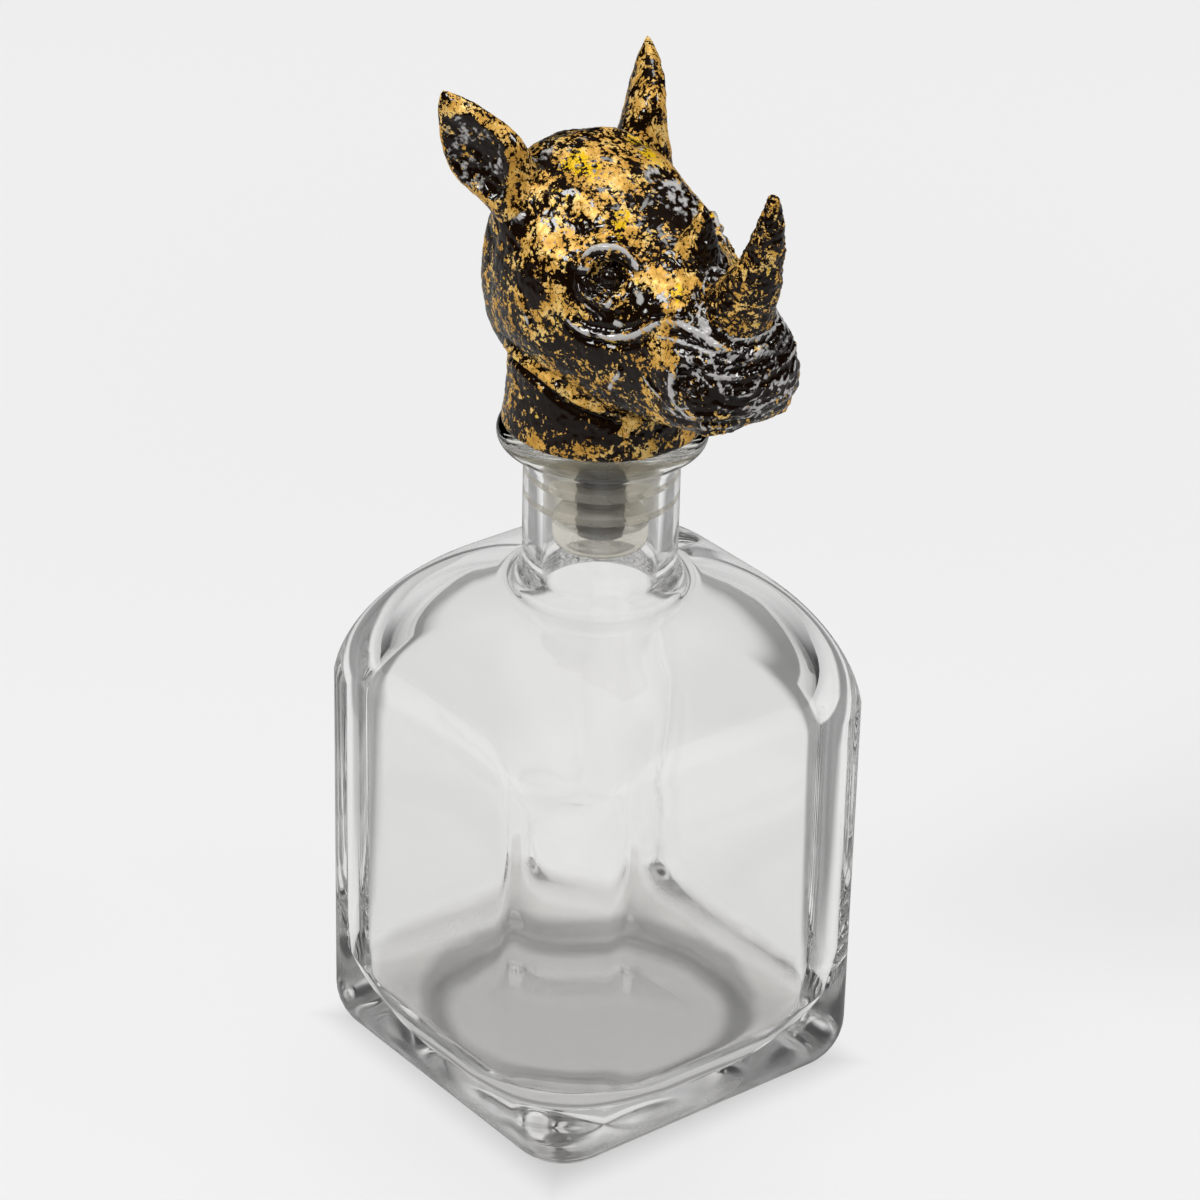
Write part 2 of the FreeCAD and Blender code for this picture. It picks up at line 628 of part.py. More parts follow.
def seat_on_head(label, form, head_form, root, direction):
    """Casting cut to the head's surface, with its peg. Also gives the socket that the head needs."""
    seated = doc.addObject("Part::Cut", f"{label}_seated")
    seated.Base = form
    seated.Tool = head_form
    piece = doc.addObject("Part::Fuse", label)
    piece.Label = label
    piece.Base = seated
    piece.Tool = make_peg(f"{label}_peg", root, direction, "0")
    return piece, make_peg(f"{label}_socket", root, direction, s("glue_gap"))


def make_horn(label, taper, head_form):
    start = FreeCAD.Vector(size(f"{label}_x"), 0, size("bottle_height") + size(f"{label}_height"))
    lean, curl, length = (size(f"{label}_{word}") for word in ("lean_angle", "curl_angle", "length"))
    rings = []
    for number, (share, thickness) in enumerate(taper):
        point, direction = lean_path(start, lean, curl, length, share)
        ring = doc.addObject("Part::Circle", f"{label}_ring_{number}")
        ring.setExpression("Radius", f"{s(label + '_diameter')} / 2 * {thickness}")
        ring.Placement = FreeCAD.Placement(point, FreeCAD.Rotation(FreeCAD.Vector(0, 0, 1), direction))
        rings.append(ring)
    form = doc.addObject("Part::Loft", f"{label}_form")
    form.Sections = rings
    form.Solid = True
    _, direction = lean_path(start, lean, curl, length, 0.0)
    return seat_on_head(label, form, head_form, start, direction)


def ear_frame():
    """Place of the right ear: its own Z runs to the tip and its own X looks out of the cup."""
    splay, sweep = math.radians(size("ear_splay_angle")), math.radians(size("ear_sweep_angle"))
    along = FreeCAD.Vector(-math.tan(sweep), -math.tan(splay), 1).normalize()
    facing = FreeCAD.Vector(*EAR_FACING).normalize()
    facing = (facing - along * facing.dot(along)).normalize()
    across = along.cross(facing)
    root = FreeCAD.Vector(
        size("ear_root_x"), -size("ear_root_y"), size("bottle_height") + size("ear_root_height"))
    return FreeCAD.Placement(root, FreeCAD.Rotation(facing, across, along, "ZXY"))


def leaf_loft(name, leaf, frame, width, depth, forward):
    """Loft of ovals along an ear, each as wide and as deep as its shares of the formulas say."""
    upright = FreeCAD.Rotation(FreeCAD.Vector(0, 0, 1), 90)
    ovals = []
    for number, (share, wide, deep) in enumerate(leaf):
        oval = doc.addObject("Part::Ellipse", f"{name}_oval_{number}")
        oval.setExpression("MajorRadius", f"({width}) / 2 * {wide}")
        oval.setExpression("MinorRadius", f"({depth}) / 2 * {deep}")
        local = FreeCAD.Vector(worth(forward), 0, size("ear_length") * share)
        oval.Placement = frame.multiply(FreeCAD.Placement(local, upright))
        ovals.append(oval)
    form = doc.addObject("Part::Loft", name)
    form.Sections = ovals
    form.Solid = True
    return form


def make_right_ear(head_form):
    frame = ear_frame()
    width, depth, wall = s("ear_width"), s("ear_depth"), s("ear_wall")
    leaf = leaf_loft("ear_leaf", EAR_LEAF, frame, width, depth, "0")
    hollow = leaf_loft(
        "ear_hollow", EAR_HOLLOW, frame, f"{width} - 2 * {wall}", f"{depth} - {wall}", f"{depth} / 2")
    cup = doc.addObject("Part::Cut", "ear_cup")
    cup.Base = leaf
    cup.Tool = hollow
    along = frame.Rotation.multVec(FreeCAD.Vector(0, 0, 1))
    return seat_on_head("right_ear", cup, head_form, frame.Base, along)


def mirrored(label, source):
    """Twin of a piece across the head's middle plane."""
    twin = doc.addObject("Part::Mirroring", label)
    twin.Label = label
    twin.Source = source
    twin.Base = FreeCAD.Vector(0, 0, 0)
    twin.Normal = FreeCAD.Vector(0, 1, 0)
    return twin


def make_insert_socket():
    """Hole up into the pedestal for the brass sleeve and its flange."""
    gap = s("glue_gap")
    bores = []
    for name, diameter, depth in (
        ("sleeve_socket", "insert_diameter", f"{s('insert_length')} + {s('socket_floor_gap')}"),
        ("flange_socket", "insert_flange_diameter", f"{s('insert_flange_thickness')} + {gap}"),
    ):
        bore = doc.addObject("Part::Cylinder", name)
        bore.setExpression("Radius", f"{s(diameter)} / 2 + {gap}")
        bore.setExpression("Height", depth)
        bore.setExpression("Placement.Base.z", s("bottle_height"))
        bores.append(bore)
    return bores


def make_head_pieces():
    form = make_head_form()
    right_ear, ear_socket = make_right_ear(form)
    front_horn, front_socket = make_horn("front_horn", FRONT_HORN_TAPER, form)
    rear_horn, rear_socket = make_horn("rear_horn", REAR_HORN_TAPER, form)
    left_ear = mirrored("left_ear", right_ear)
    sockets = doc.addObject("Part::MultiFuse", "head_sockets")
    sockets.Shapes = [
        ear_socket, mirrored("left_ear_socket", ear_socket), front_socket, rear_socket, *make_insert_socket(),
    ]
    head = doc.addObject("Part::Cut", "head_casting")
    head.Label = "head_casting"
    head.Base = form
    head.Tool = sockets
    return [head, right_ear, left_ear, front_horn, rear_horn]


def export(pieces):
    """Stops on anything broken, then writes one file for each piece."""
    doc.recompute()
    for item in doc.Objects:
        if "Invalid" in item.State or "Error" in item.State:
            raise ValueError(f"{item.Label} failed: {item.State}")
    for piece in pieces:
        shape = piece.Shape
        if shape.isNull() or not shape.isValid() or len(shape.Solids) != 1:
            raise ValueError(f"{piece.Label} is not one sound solid")
    os.makedirs("parts", exist_ok=True)
    for piece in pieces:
        piece.Shape.Solids[0].exportStep(f"parts/{piece.Label}.step")
        print(piece.Label, round(piece.Shape.Volume, 1))


all_pieces = [make_bottle()]
all_pieces += make_head_pieces()
all_pieces += [make_insert(), make_stem()]
for count, place in enumerate(("upper", "middle", "lower")):
    all_pieces.append(make_seal_ring(f"{place}_seal_ring", count))
all_pieces.append(make_end_plug())
export(all_pieces)
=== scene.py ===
import math

import bpy
import numpy as np
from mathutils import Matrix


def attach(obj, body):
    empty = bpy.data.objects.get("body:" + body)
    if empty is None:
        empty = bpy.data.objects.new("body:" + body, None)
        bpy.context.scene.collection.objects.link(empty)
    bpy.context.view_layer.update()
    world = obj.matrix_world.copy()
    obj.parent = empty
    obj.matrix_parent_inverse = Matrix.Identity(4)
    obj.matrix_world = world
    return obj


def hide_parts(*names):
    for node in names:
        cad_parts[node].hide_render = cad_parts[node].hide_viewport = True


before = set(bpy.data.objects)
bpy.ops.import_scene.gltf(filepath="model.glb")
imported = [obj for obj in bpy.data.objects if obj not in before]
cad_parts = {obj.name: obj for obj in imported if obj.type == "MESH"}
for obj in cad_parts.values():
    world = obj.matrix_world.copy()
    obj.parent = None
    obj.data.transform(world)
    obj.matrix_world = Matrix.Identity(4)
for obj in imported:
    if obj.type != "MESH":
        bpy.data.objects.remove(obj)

import openvdb
from mathutils import Matrix, Vector, noise

bl_info = {
    "name": "Glass decanter with a head stopper",
    "version": (1, 0, 0),
    "blender": (4, 5, 0),
    "location": "3D View > Sidebar > Decanter",
    "description": "Dresses a square glass decanter, its seals and its cast animal-head stopper",
    "category": "Object",
}

# Sculpting works in millimetres, Blender in metres.
MM = 0.001
TINY = 1e-9
# The photograph is square, this many pixels on a side.
PHOTO_SIDE = 1200
SENSOR_WIDTH = 36.0

# Room that glass sees: height of a direction and its light, then where the sides turn dark.
ROOM_STOPS = ((0.0, 0.85), (0.2, 0.75), (0.4, 0.45), (0.6, 0.5), (0.82, 1.0))
ROOM_SIDES = (0.35, 0.7)
ROOM_SIDE_SHADE = 0.95
# What gloss sees: nothing low down, a soft ceiling, a dim floor.
GLOSS_HEIGHTS = (0.45, 0.85)
GLOSS_CEILING = 0.1
GLOSS_FLOOR = 0.02
# Lamps: name, turn from the camera's side and rise in degrees, distance and size in metres.
LAMPS = (("key", -60.0, 48.0, 1.1, 0.35), ("fill", 75.0, 40.0, 1.1, 0.3), ("top", 170.0, 75.0, 1.1, 0.4))
NEAREST_SEEN = 0.01
GLASS_BOUNCES = 32
GLASS_IOR = 1.5
GLASS_ROUGHNESS = 0.02
# Light that the glass lets through to what it holds.
GLASS_SHADOW = 0.96
# Clouds in the glass, by scale and detail, and how far they move the edges of its tints.
GLASS_CLOUD = (60.0, 2.0)
GLASS_WANDER = 0.004
# Painted shade in the glass floor, for the shaded table under the base: heights over which it ends, reach
# from the axis, bounds of its painted dark ring.
FOOT_HEIGHTS = (0.016, 0.0185)
FOOT_REACH = (0.0365, 0.038)
RING_INSIDE = (0.026, 0.03)
RING_OUTSIDE = (0.032, 0.035)
RING_HEIGHTS = (0.012, 0.0135)
RIM_HEIGHTS = (0.13, 0.1325)
# Blur of the foot's outside, and heights over which it ends.
FOOT_BLUR = 0.45
BLUR_HEIGHTS = (0.008, 0.014)
# Seals: clouds by scale and detail, their share of the colour, and the shader's numbers.
SILICONE_CLOUD = (400.0, 3.0)
SILICONE_SHADE = (0.93, 0.92, 0.88, 1.0)
SILICONE_ROUGHNESS, SILICONE_IOR, SILICONE_CLEAR = 0.04, 1.06, 0.74
# Turned metal: rings from the lathe, by scale and detail, their share of the colour, part in the roughness.
LATHE_SCALE, LATHE_DETAIL = (20.0, 20.0, 4000.0), 2.0
LATHE_SHADE = (0.6, 0.6, 0.6, 1.0)
LATHE_VARIES, STEM_ROUGHNESS, BRASS_ROUGHNESS = 0.2, 0.28, 0.25
# Leaf pattern, per metre: scales of patches and speckles on each piece.
LEAF_SCALES = {
    "gilded_head": (230.0, 1200.0), "gilded_ears": (280.0, 1300.0), "gilded_horns": (300.0, 1400.0),
}
# Values that a mesh stores for its leaf and its painted grey highlight, and colours of the leaf, its ground
# and that highlight.
LEAF_LAYERS = ("gild", "rub", "bright")
LEAF_COLOURS = ("ground", "leaf", "pale", "bright", "rub")
# Detail and roughness of patches and speckles; scale, detail and roughness of tones and of worm lines.
PATCH_GRAIN, SPECKLE_GRAIN = (5.0, 0.74), (3.0, 0.6)
TONE_GRAIN, WORM_GRAIN = (260.0, 3.0, 0.6), (800.0, 1.0, 0.5)
WORM_WIDTH = 0.03
# How far patches and speckles make leaf, how far worm lines break it, and half the width of its edge.
PATCH_GAIN, SPECKLE_GAIN, WORM_LOSS, LEAF_EDGE = 3.4, 2.2, 0.6, 0.04
# Deep leaf as a share of its colour, and values where leaf turns plain, pale (a painted highlight) or bright
# and resin turns grey (a painted highlight).
DEEP_SHADE = (0.62, 0.55, 0.45, 1.0)
PLAIN_STEPS, PALE_STEPS, BRIGHT_STEPS, GREY_STEPS = (-0.22, 0.16), (0.02, 0.24), (0.5, 0.75), (0.3, 0.58)
PALE_SPECKLE, BRIGHT_SPECKLE, GREY_SPECKLE = 0.7, 2.4, 0.9
# Roughness of bare resin and how far it varies, then leaf.
RESIN_ROUGHNESS, RESIN_VARIES, LEAF_ROUGHNESS = 0.12, 0.2, 0.42
RESIN_SPECULAR, RESIN_COAT, RESIN_COAT_ROUGHNESS = 0.12, 0.6, 0.1
LEAF_METALLIC = 0.2
BUMP_STRENGTH, BUMP_HEIGHT = 0.5, 0.00008
# Floor: half its side, its drop below the object, its own light and its colour under the lamps.
FLOOR_HALF, FLOOR_DROP = 3.0, 0.0002
FLOOR_GLOW = 0.66
FLOOR_SHADE = 0.3
# The floor gets paler for the camera with its distance, as the lamps' light fades: distances, share.
FLOOR_LIFTS = (((0.2, 0.6), 0.1), ((0.6, 2.0), 0.2))
# Dark stretch of the table to either side, and the shade under the base.
DARK_START = (0.05, 0.085)
DARK_END = (0.17, 0.22)
DARK_SHADE = 0.95
UNDER_REACH = (0.031, 0.041)
UNDER_SHADE = 0.35

BOTTLE_BODY = "bottle"
SEAL_BODY = "seals"
STOPPER_BODY = "stopper"

# Seal rings: sizes and counts of their group, then rounding of a section as a share of its lip, in steps.
RING_LENGTHS = ("Pitch", "Top", "Thickness", "Edge", "Outside", "Inside")
RING_COUNTS = ("Count", "Segments")
RING_FILLET, RING_FILLET_STEPS = 0.48, 8
# Rounding of the end plug's upper edge as a share of its lower one, and flat share of its top.
PLUG_LIP, PLUG_FLAT = 0.2, 0.5
# Fillet under the rim as a share of its bead.
RIM_FILLET = 0.25
# Waves of the inside: their detail, and their share in the neck's flare.
WAVE_DETAIL, FLARE_WAVE = 1.0, 0.3
# Points closer than this are one.
MERGE_DISTANCE = 1e-6
# Circle that counts the points round a section, before they are moved to their places.
SWEEP_RADIUS = 0.01
# Share of each quarter turn that a swept profile spends on half of a flat side.
FLAT_SHARE = 0.2
ARC_STEPS = 10
SHOULDER_ROWS = 22
WALL_ROWS = 8
FLOOR_ROWS = 8
# The shoulder follows the solid's superellipse and stops where the neck's flare takes over.
SHOULDER_POWER = 2.3
SHOULDER_END = 0.9886
SHOULDER_ROUNDING = 0.5
FLARE_INSET = 0.0003
# The hollow turns from square to round on its way down to the floor.
FLOOR_ROUNDING = 0.5

# Sections of the head: name, place along X, half width, heights of the top, the widest place and the foot.
HEAD_STATIONS = (
    ("nape", -22.2, 8.0, 173.5, 163.5, 154.5),
    ("poll", -18.8, 13.5, 182.0, 163.5, 149.0),
    ("crown", -9.8, 18.5, 188.5, 163.5, 147.8),
    ("brow", 2.2, 20.6, 188.5, 164.5, 148.0),
    ("cheek", 14.2, 17.8, 183.1, 163.5, 147.0),
    ("bridge", 26.2, 13.2, 176.5, 160.0, 147.4),
    ("muzzle", 35.6, 12.2, 172.5, 158.5, 149.2),
    ("lip", 42.0, 10.6, 168.0, 158.0, 151.1),
    ("snout", 44.6, 7.0, 163.5, 158.0, 153.7),
)
HEAD_BACK, HEAD_FRONT, HEAD_END_BLEND = -22.6, 44.8, 5.0
# Flat part of a section at its top and at its foot, in shares of the half width, and the rounding beside it.
CREST_SHARE, CREST_BLEND = 0.25, 4.0
SOLE_SHARE, SOLE_BLEND = 0.7, 1.2
# Masses on the head, mirrored in Y: name, middle, radii, tilt towards +X in degrees, width of the blend.
HEAD_MASSES = (
    ("cheek", (3.0, 9.2, 160.0), (13.0, 10.8, 9.5), 6.0, 2.5),
    ("crown", (-7.0, 4.6, 178.0), (9.5, 9.0, 9.8), 0.0, 3.0),
    ("brow_ridge", (14.5, 9.5, 174.9), (5.8, 3.3, 3.3), 35.0, 1.6),
    ("muzzle", (33.6, 0.0, 159.4), (9.6, 12.4, 10.2), 0.0, 2.5),
    ("upper_lip", (37.6, 0.0, 157.4), (5.8, 10.2, 6.0), 0.0, 2.0),
    ("front_horn_boss", (36.0, 0.0, 168.2), (8.0, 7.6, 5.0), 36.0, 2.5),
    ("rear_horn_boss", (24.4, 0.0, 174.4), (6.4, 6.0, 3.6), 20.0, 3.0),
    ("ear_boss", (-8.6, 12.2, 177.6), (6.4, 5.6, 5.6), 0.0, 3.0),
)
# Hollow beside the forehead: middle, radii, width of the blend.
TEMPLE = ((9.5, 18.0, 183.0), (8.0, 6.4, 6.5), 3.0)
NECK_BLEND = 1.0
# Corners of the box that holds the head.
HEAD_BOX = ((-25, -24, 134.5), (49, 24, 192))
# Skin: heights over which its relief starts, then size and share of its broad and fine lumps.
RELIEF_START = (136.5, 138.5)
SKIN_BROAD, SKIN_FINE = (5.0, 0.8), (1.6, 0.45)
# Cracks between scales: size of a scale, width and depth of a crack.
CRACK_SIZE, CRACK_WIDTH, CRACK_DEPTH = 2.2, 0.25, 0.12
# Muzzle: where it starts along X and upward. Its fine folds are longer than high, and weaker on the far side.
MUZZLE_START, MUZZLE_RISE = (27, 35), (149, 152)
MUZZLE_STRETCH = (2.2, 2.2, 1.0)
FOLD_SIZE, FOLD_OCTAVES, FOLD_WIDTH, FOLD_HEIGHT, FOLD_MIDDLE = 1.3, 2, 0.3, 0.26, 0.4
# Painted grey highlight on the folds: amount, start, and most that broad lumps make of it.
FOLD_HIGHLIGHT, FOLD_HIGHLIGHT_START, FOLD_HIGHLIGHT_MOST = 1.1, 0.35, 1.5
FAR_SIDE, FAR_LOSS = (-1, 3), 0.6
# Neck under the head: height and radius.
NECK_PROFILE = ((135.5, 18.7), (137.0, 18.5), (144.0, 17.7), (150.0, 17.6), (162.0, 17.0))
NECK_TOP = 160.0
FOOT_EDGE = 0.5

EYE_PIXEL = (607, 277)
EYE_RADIUS = 1.9
EYE_SINK = 1.9
EYE_BLEND = 0.4
# Edge of the eyeball's own look, outside its radius, then its painted grey highlight and its loss of leaf.
EYE_EDGE = (0.35, 0.15)
EYE_HIGHLIGHT, EYE_LOSS = 0.25, 0.8
SOCKET_RADII = (3.4, 3.4, 2.6)
SOCKET_BLEND = 1.6
PUPIL_PIXEL = (599, 281)
PUPIL_RADIUS = 1.0
PUPIL_EDGE = 0.4
NOSTRIL_PIXEL = (690, 380)
NOSTRIL_RADII = (3.4, 2.4, 2.2)
NOSTRIL_BLEND = 1.2

# Wrinkles: name, places on the photograph, half width, height, how much painted grey highlight their crest
# gets.
WRINKLES = (
    ("upper_eyelid", ((579, 263), (591, 251), (604, 247), (617, 248), (629, 256), (636, 265), (638, 273)),
     0.62, 0.9, 1.1),
    ("lid_corner", ((577, 268), (584, 269), (591, 268)), 0.7, 0.4, 0.7),
    ("lower_lid", ((576, 283), (581, 291), (589, 297), (600, 303), (608, 305), (612, 297)), 0.48, 0.6, 1.1),
    ("lower_lid_inner", ((583, 278), (589, 287), (595, 293)), 0.42, 0.4, 0.85),
    ("lower_lid_outer", ((580, 301), (587, 308), (596, 314), (602, 322)), 0.36, 0.35, 0.75),
    ("eye_floor", ((600, 281), (606, 287), (614, 288)), 0.36, 0.35, 0.85),
    ("tear_duct", ((634, 292), (640, 297), (641, 304)), 0.9, 0.4, 0.7),
    ("tear_crease", ((622, 301), (626, 297), (630, 295)), 0.35, 0.3, 0.8),
    ("under_eye_bump", ((613, 322), (618, 324), (623, 323)), 0.9, 0.3, 0.7),
    ("fold_under_eye", ((561, 308), (570, 321), (585, 331), (605, 336), (624, 337), (642, 332), (658, 324),
                        (674, 323), (691, 329), (709, 340), (727, 350), (745, 355), (757, 356)),
     0.75, 0.9, 0.95),
    ("second_fold", ((648, 335), (664, 338), (687, 344), (704, 351), (728, 362), (752, 364)),
     0.45, 0.45, 0.8),
    ("cheek_crease", ((520, 288), (521, 300), (525, 314), (530, 327)), 0.5, 0.4, 0.7),
    ("jaw_edge", ((500, 339), (516, 354), (541, 375), (567, 395), (591, 406), (618, 414), (648, 425)),
     1.0, 1.0, 0.3),
    ("jaw_crease", ((504, 352), (522, 368), (545, 386), (569, 404), (594, 415), (622, 424)), 0.8, -0.7, 0.0),
    ("mouth_corner", ((617, 366), (620, 374), (612, 382), (609, 392)), 0.55, 0.45, 0.85),
    ("cheek_fold", ((642, 368), (648, 382), (658, 394), (666, 403)), 0.5, 0.45, 0.8),
    ("nostril_back", ((676, 371), (672, 378), (671, 387), (672, 395), (675, 402)), 0.85, 0.8, 0.95),
    ("nostril_top", ((673, 372), (683, 369), (701, 372), (717, 376), (738, 379)), 0.45, 0.5, 0.9),
    ("nostril_floor", ((682, 391), (690, 393), (695, 392), (701, 385)), 0.36, 0.35, 0.8),
    ("brow_dome", ((559, 173), (561, 159), (567, 147), (578, 139), (594, 137)), 0.5, 0.35, 0.6),
    ("ear_root", ((523, 149), (530, 157), (538, 162)), 0.6, 0.4, 0.85),
    ("ear_knob", ((521, 198), (524, 200), (527, 202)), 0.6, 0.4, 0.9),
    ("fold_below_ear", ((500, 205), (512, 213), (526, 217)), 0.8, 0.45, 0.75),
    ("nape_streak", ((494, 216), (496, 226), (498, 236)), 0.6, 0.35, 0.7),
    ("horn_fold_lower", ((698, 319), (705, 327), (713, 334)), 0.85, 0.6, 0.95),
    ("horn_fold_upper", ((713, 307), (722, 316), (730, 322)), 0.75, 0.6, 0.95),
    ("rear_horn_root", ((680, 256), (696, 258), (715, 257), (731, 256)), 0.5, 0.45, 0.85),
    ("horn_side_fold", ((715, 262), (707, 274), (704, 288), (708, 299)), 0.5, 0.4, 0.6),
    ("nose_line", ((664, 248), (676, 256), (684, 264)), 0.45, 0.35, 0.8),
    ("lip_line", ((664, 415), (681, 422), (711, 425), (738, 422), (764, 416), (783, 398)), 0.55, -0.8, 0.0),
    ("lip_roll", ((690, 415), (714, 417), (740, 414), (766, 406)), 0.5, 0.4, 0.3),
    ("lower_lip", ((653, 422), (677, 431), (709, 434), (741, 430)), 0.5, 0.35, 0.3),
    ("muzzle_low", ((713, 402), (721, 408), (738, 410), (756, 406), (772, 402), (788, 393)), 0.4, 0.4, 0.75),
    ("muzzle_second", ((719, 383), (723, 393), (740, 396), (756, 393)), 0.4, 0.45, 0.8),
    ("muzzle_third", ((725, 380), (750, 376), (774, 366), (790, 348)), 0.4, 0.35, 0.6),
    ("muzzle_fourth", ((720, 368), (739, 364), (760, 352), (776, 336)), 0.4, 0.35, 0.7),
    ("muzzle_high", ((728, 339), (744, 339), (762, 336)), 0.4, 0.35, 0.8),
    ("muzzle_front", ((771, 311), (782, 323), (791, 339), (795, 355)), 0.5, 0.4, 0.7),
    ("socket_crease", ((573, 262), (570, 277), (573, 296), (587, 309), (605, 320)), 0.7, -0.6, 0.0),
    ("crease_under_fold", ((570, 331), (591, 341), (618, 345), (642, 341)), 0.6, -0.5, 0.0),
    ("brow_wrinkle", ((583, 234), (594, 228), (608, 225)), 0.4, 0.3, 0.75),
)
# Cross-section of a wrinkle in half widths: roughness, fall of the crest, width of its painted highlight,
# reach, and place, width and depth of the hollows beside it.
WRINKLE_ROUGH, WRINKLE_FALL, WRINKLE_HIGHLIGHT, WRINKLE_REACH = 0.45, 1.6, 0.8, 4
WRINKLE_SIDES = (1.9, 0.6, 0.55)
# Share of its length over which it fades at each end, the power of that fade, and its uneven height.
WRINKLE_END, WRINKLE_END_POWER, WRINKLE_UNEVEN = 0.14, 0.7, 0.5
# Lumps that roughen it and that break its painted highlight, and how much of that highlight stays and varies.
WRINKLE_GRAIN, WRINKLE_BREAK = 1.7, 4.0
WRINKLE_WHOLE, WRINKLE_VARIES = 0.8, 0.9
# A line counts up to this far past the middle plane, and with this many points.
WRINKLE_PAST_MIDDLE, WRINKLE_FEWEST = 1.5, 3
# Where the bare resin shines grey: name, place on the photograph, reach, amount.
SHEEN_SPOTS = (
    ("far_brow", (658, 178), 5.0, 0.36),
    ("far_temple", (676, 190), 4.5, 0.36),
    ("beside_rear_horn", (686, 208), 4.5, 0.5),
    ("far_ear_root", (642, 150), 4.0, 0.4),
    ("nose_top", (706, 252), 4.0, 0.9),
    ("behind_ear", (514, 215), 2.5, 0.5),
    ("near_ear_root", (545, 151), 3.0, 0.5),
    ("muzzle_front", (768, 345), 8.0, 0.35),
    ("tear_duct", (640, 297), 1.8, 0.5),
)
# Most of that sheen, then its even part, its part by fine lumps and the most that they make of it.
SHEEN_MOST = 0.5
SHEEN_EVEN, SHEEN_VARIES, SHEEN_GAIN = 0.8, 1.2, 1.2
# Where leaf lies thick or is missing: name, place on the photograph, reach, amount.
LEAF_SPOTS = (
    ("forehead", (586, 170), 9.0, 0.5),
    ("forehead_far", (624, 181), 7.0, 0.35),
    ("temple", (559, 250), 7.0, 0.45),
    ("ear_foot", (511, 256), 4.0, 0.35),
    ("cheek_back", (500, 312), 4.5, 0.4),
    ("cheek", (546, 315), 4.0, 0.4),
    ("brow_edge", (618, 234), 4.0, 0.45),
    ("nose_side", (661, 274), 5.0, 0.45),
    ("nose_ridge", (684, 293), 4.0, 0.45),
    ("lip_corner", (661, 358), 3.5, 0.3),
    ("jaw", (541, 363), 4.0, 0.35),
    ("jaw_front", (591, 395), 4.0, 0.3),
    ("jaw_line_1", (520, 358), 2.0, 0.4),
    ("jaw_line_2", (545, 378), 2.0, 0.5),
    ("jaw_line_3", (570, 397), 2.0, 0.5),
    ("jaw_line_4", (598, 408), 2.0, 0.5),
    ("jaw_line_5", (626, 417), 2.0, 0.5),
    ("jaw_line_6", (655, 426), 2.0, 0.5),
    ("jaw_line_7", (686, 431), 2.0, 0.5),
    ("jaw_line_8", (716, 431), 2.0, 0.4),
    ("neck_left", (512, 395), 4.0, 0.3),
    ("neck_foot_1", (540, 436), 4.0, 0.3),
    ("neck_foot_2", (580, 444), 4.0, 0.3),
    ("neck_foot_3", (630, 442), 4.0, 0.3),
    ("behind_rear_horn", (686, 222), 3.0, -0.9),
    ("beside_rear_horn", (682, 210), 4.0, -0.7),
    ("behind_ear_bare", (511, 232), 4.5, -0.6),
    ("cheek_bare", (533, 288), 3.0, -0.5),
    ("temple_bare", (591, 221), 3.0, -0.35),
    ("socket_bare", (570, 285), 2.5, -0.5),
    ("fold_bare", (591, 347), 4.0, -0.3),
    ("mouth_bare", (626, 360), 3.5, -0.15),
    ("lip_back", (648, 350), 4.0, 0.3),
    ("nose_bare", (645, 312), 3.0, -0.3),
    ("far_brow_bare", (660, 180), 5.5, -0.35),
    ("far_temple_bare", (678, 194), 5.0, -0.4),
    ("rear_horn_bare", (706, 252), 4.0, -1.3),
    ("neck_bare", (559, 414), 4.5, -0.35),
    ("muzzle_bare", (741, 374), 10.0, -0.5),
)
# Spots this far past the middle plane are the far side's own.
SPOT_PAST_MIDDLE = 1.0
# Leaf on the head: amounts for spots and relief, losses for cracks, for plain skin and where the painted
# highlight passes a start.
GILD_SPOTS, GILD_RELIEF = 0.75, 0.3
GILD_CRACK_LOSS, GILD_PLAIN_LOSS = 0.2, 0.14
GILD_HIGHLIGHT_START, GILD_HIGHLIGHT_LOSS = 0.35, 1.3
# Leaf on the neck and round its foot: height where a change starts, where it is full, amount.
NECK_LEAF = ((150, 142, -0.2), (140, 137, 0.25))
# Where the leaf is a bright yellow: name, place on the photograph, reach, amount.
BRIGHT_SPOTS = (
    ("forehead_left", (578, 165), 3.2, 0.9),
    ("forehead_right", (595, 171), 2.2, 0.6),
    ("brow_edge", (620, 222), 2.2, 0.7),
    ("eyelid", (617, 240), 1.6, 0.7),
    ("far_brow", (656, 221), 1.4, 0.5),
    ("nose_ridge", (679, 296), 2.0, 0.8),
)

# Ear: share of its length, share of the full width, share of the full depth, shift out of the cup.
EAR_LEAF = (
    (-0.12, 0.6, 1.7, -1.8), (0.0, 0.68, 1.65, -1.8), (0.14, 0.82, 1.4, -1.3), (0.38, 1.0, 1.12, -0.5),
    (0.68, 0.72, 0.8, 0.0), (0.88, 0.36, 0.4, 0.0), (1.0, 0.05, 0.06, 0.0),
)
EAR_HOLLOW = (
    (0.08, 0.2, 0.2, 3.7), (0.16, 0.5, 0.5, 3.7), (0.38, 1.0, 1.0, 3.7), (0.68, 0.8, 0.8, 3.7),
    (0.88, 0.4, 0.36, 3.7), (0.95, 0.05, 0.05, 3.7),
)
EAR_ROOT = (-8.0, -15.4, 180.1)
EAR_LENGTH = 22.6
EAR_WIDTH = 15.5
EAR_DEPTH = 7.4
EAR_WALL = 1.5
EAR_SPLAY = math.radians(22.8)
EAR_SWEEP = math.radians(30.5)
EAR_FACING = (0.45, -1.0, 0.0)
EAR_THINNEST = 0.03
EAR_EDGE = 0.7
# Reach of an ear's box below and above its root.
EAR_REACH = ((26, 20, 8), (12, 10, 26))
# Inside of the cup, by distance from its hollow, and the lip that holds more leaf: distance, width, amount.
EAR_INSIDE = (0.6, -0.2)
EAR_LIP = (0.9, 0.7, 0.16)
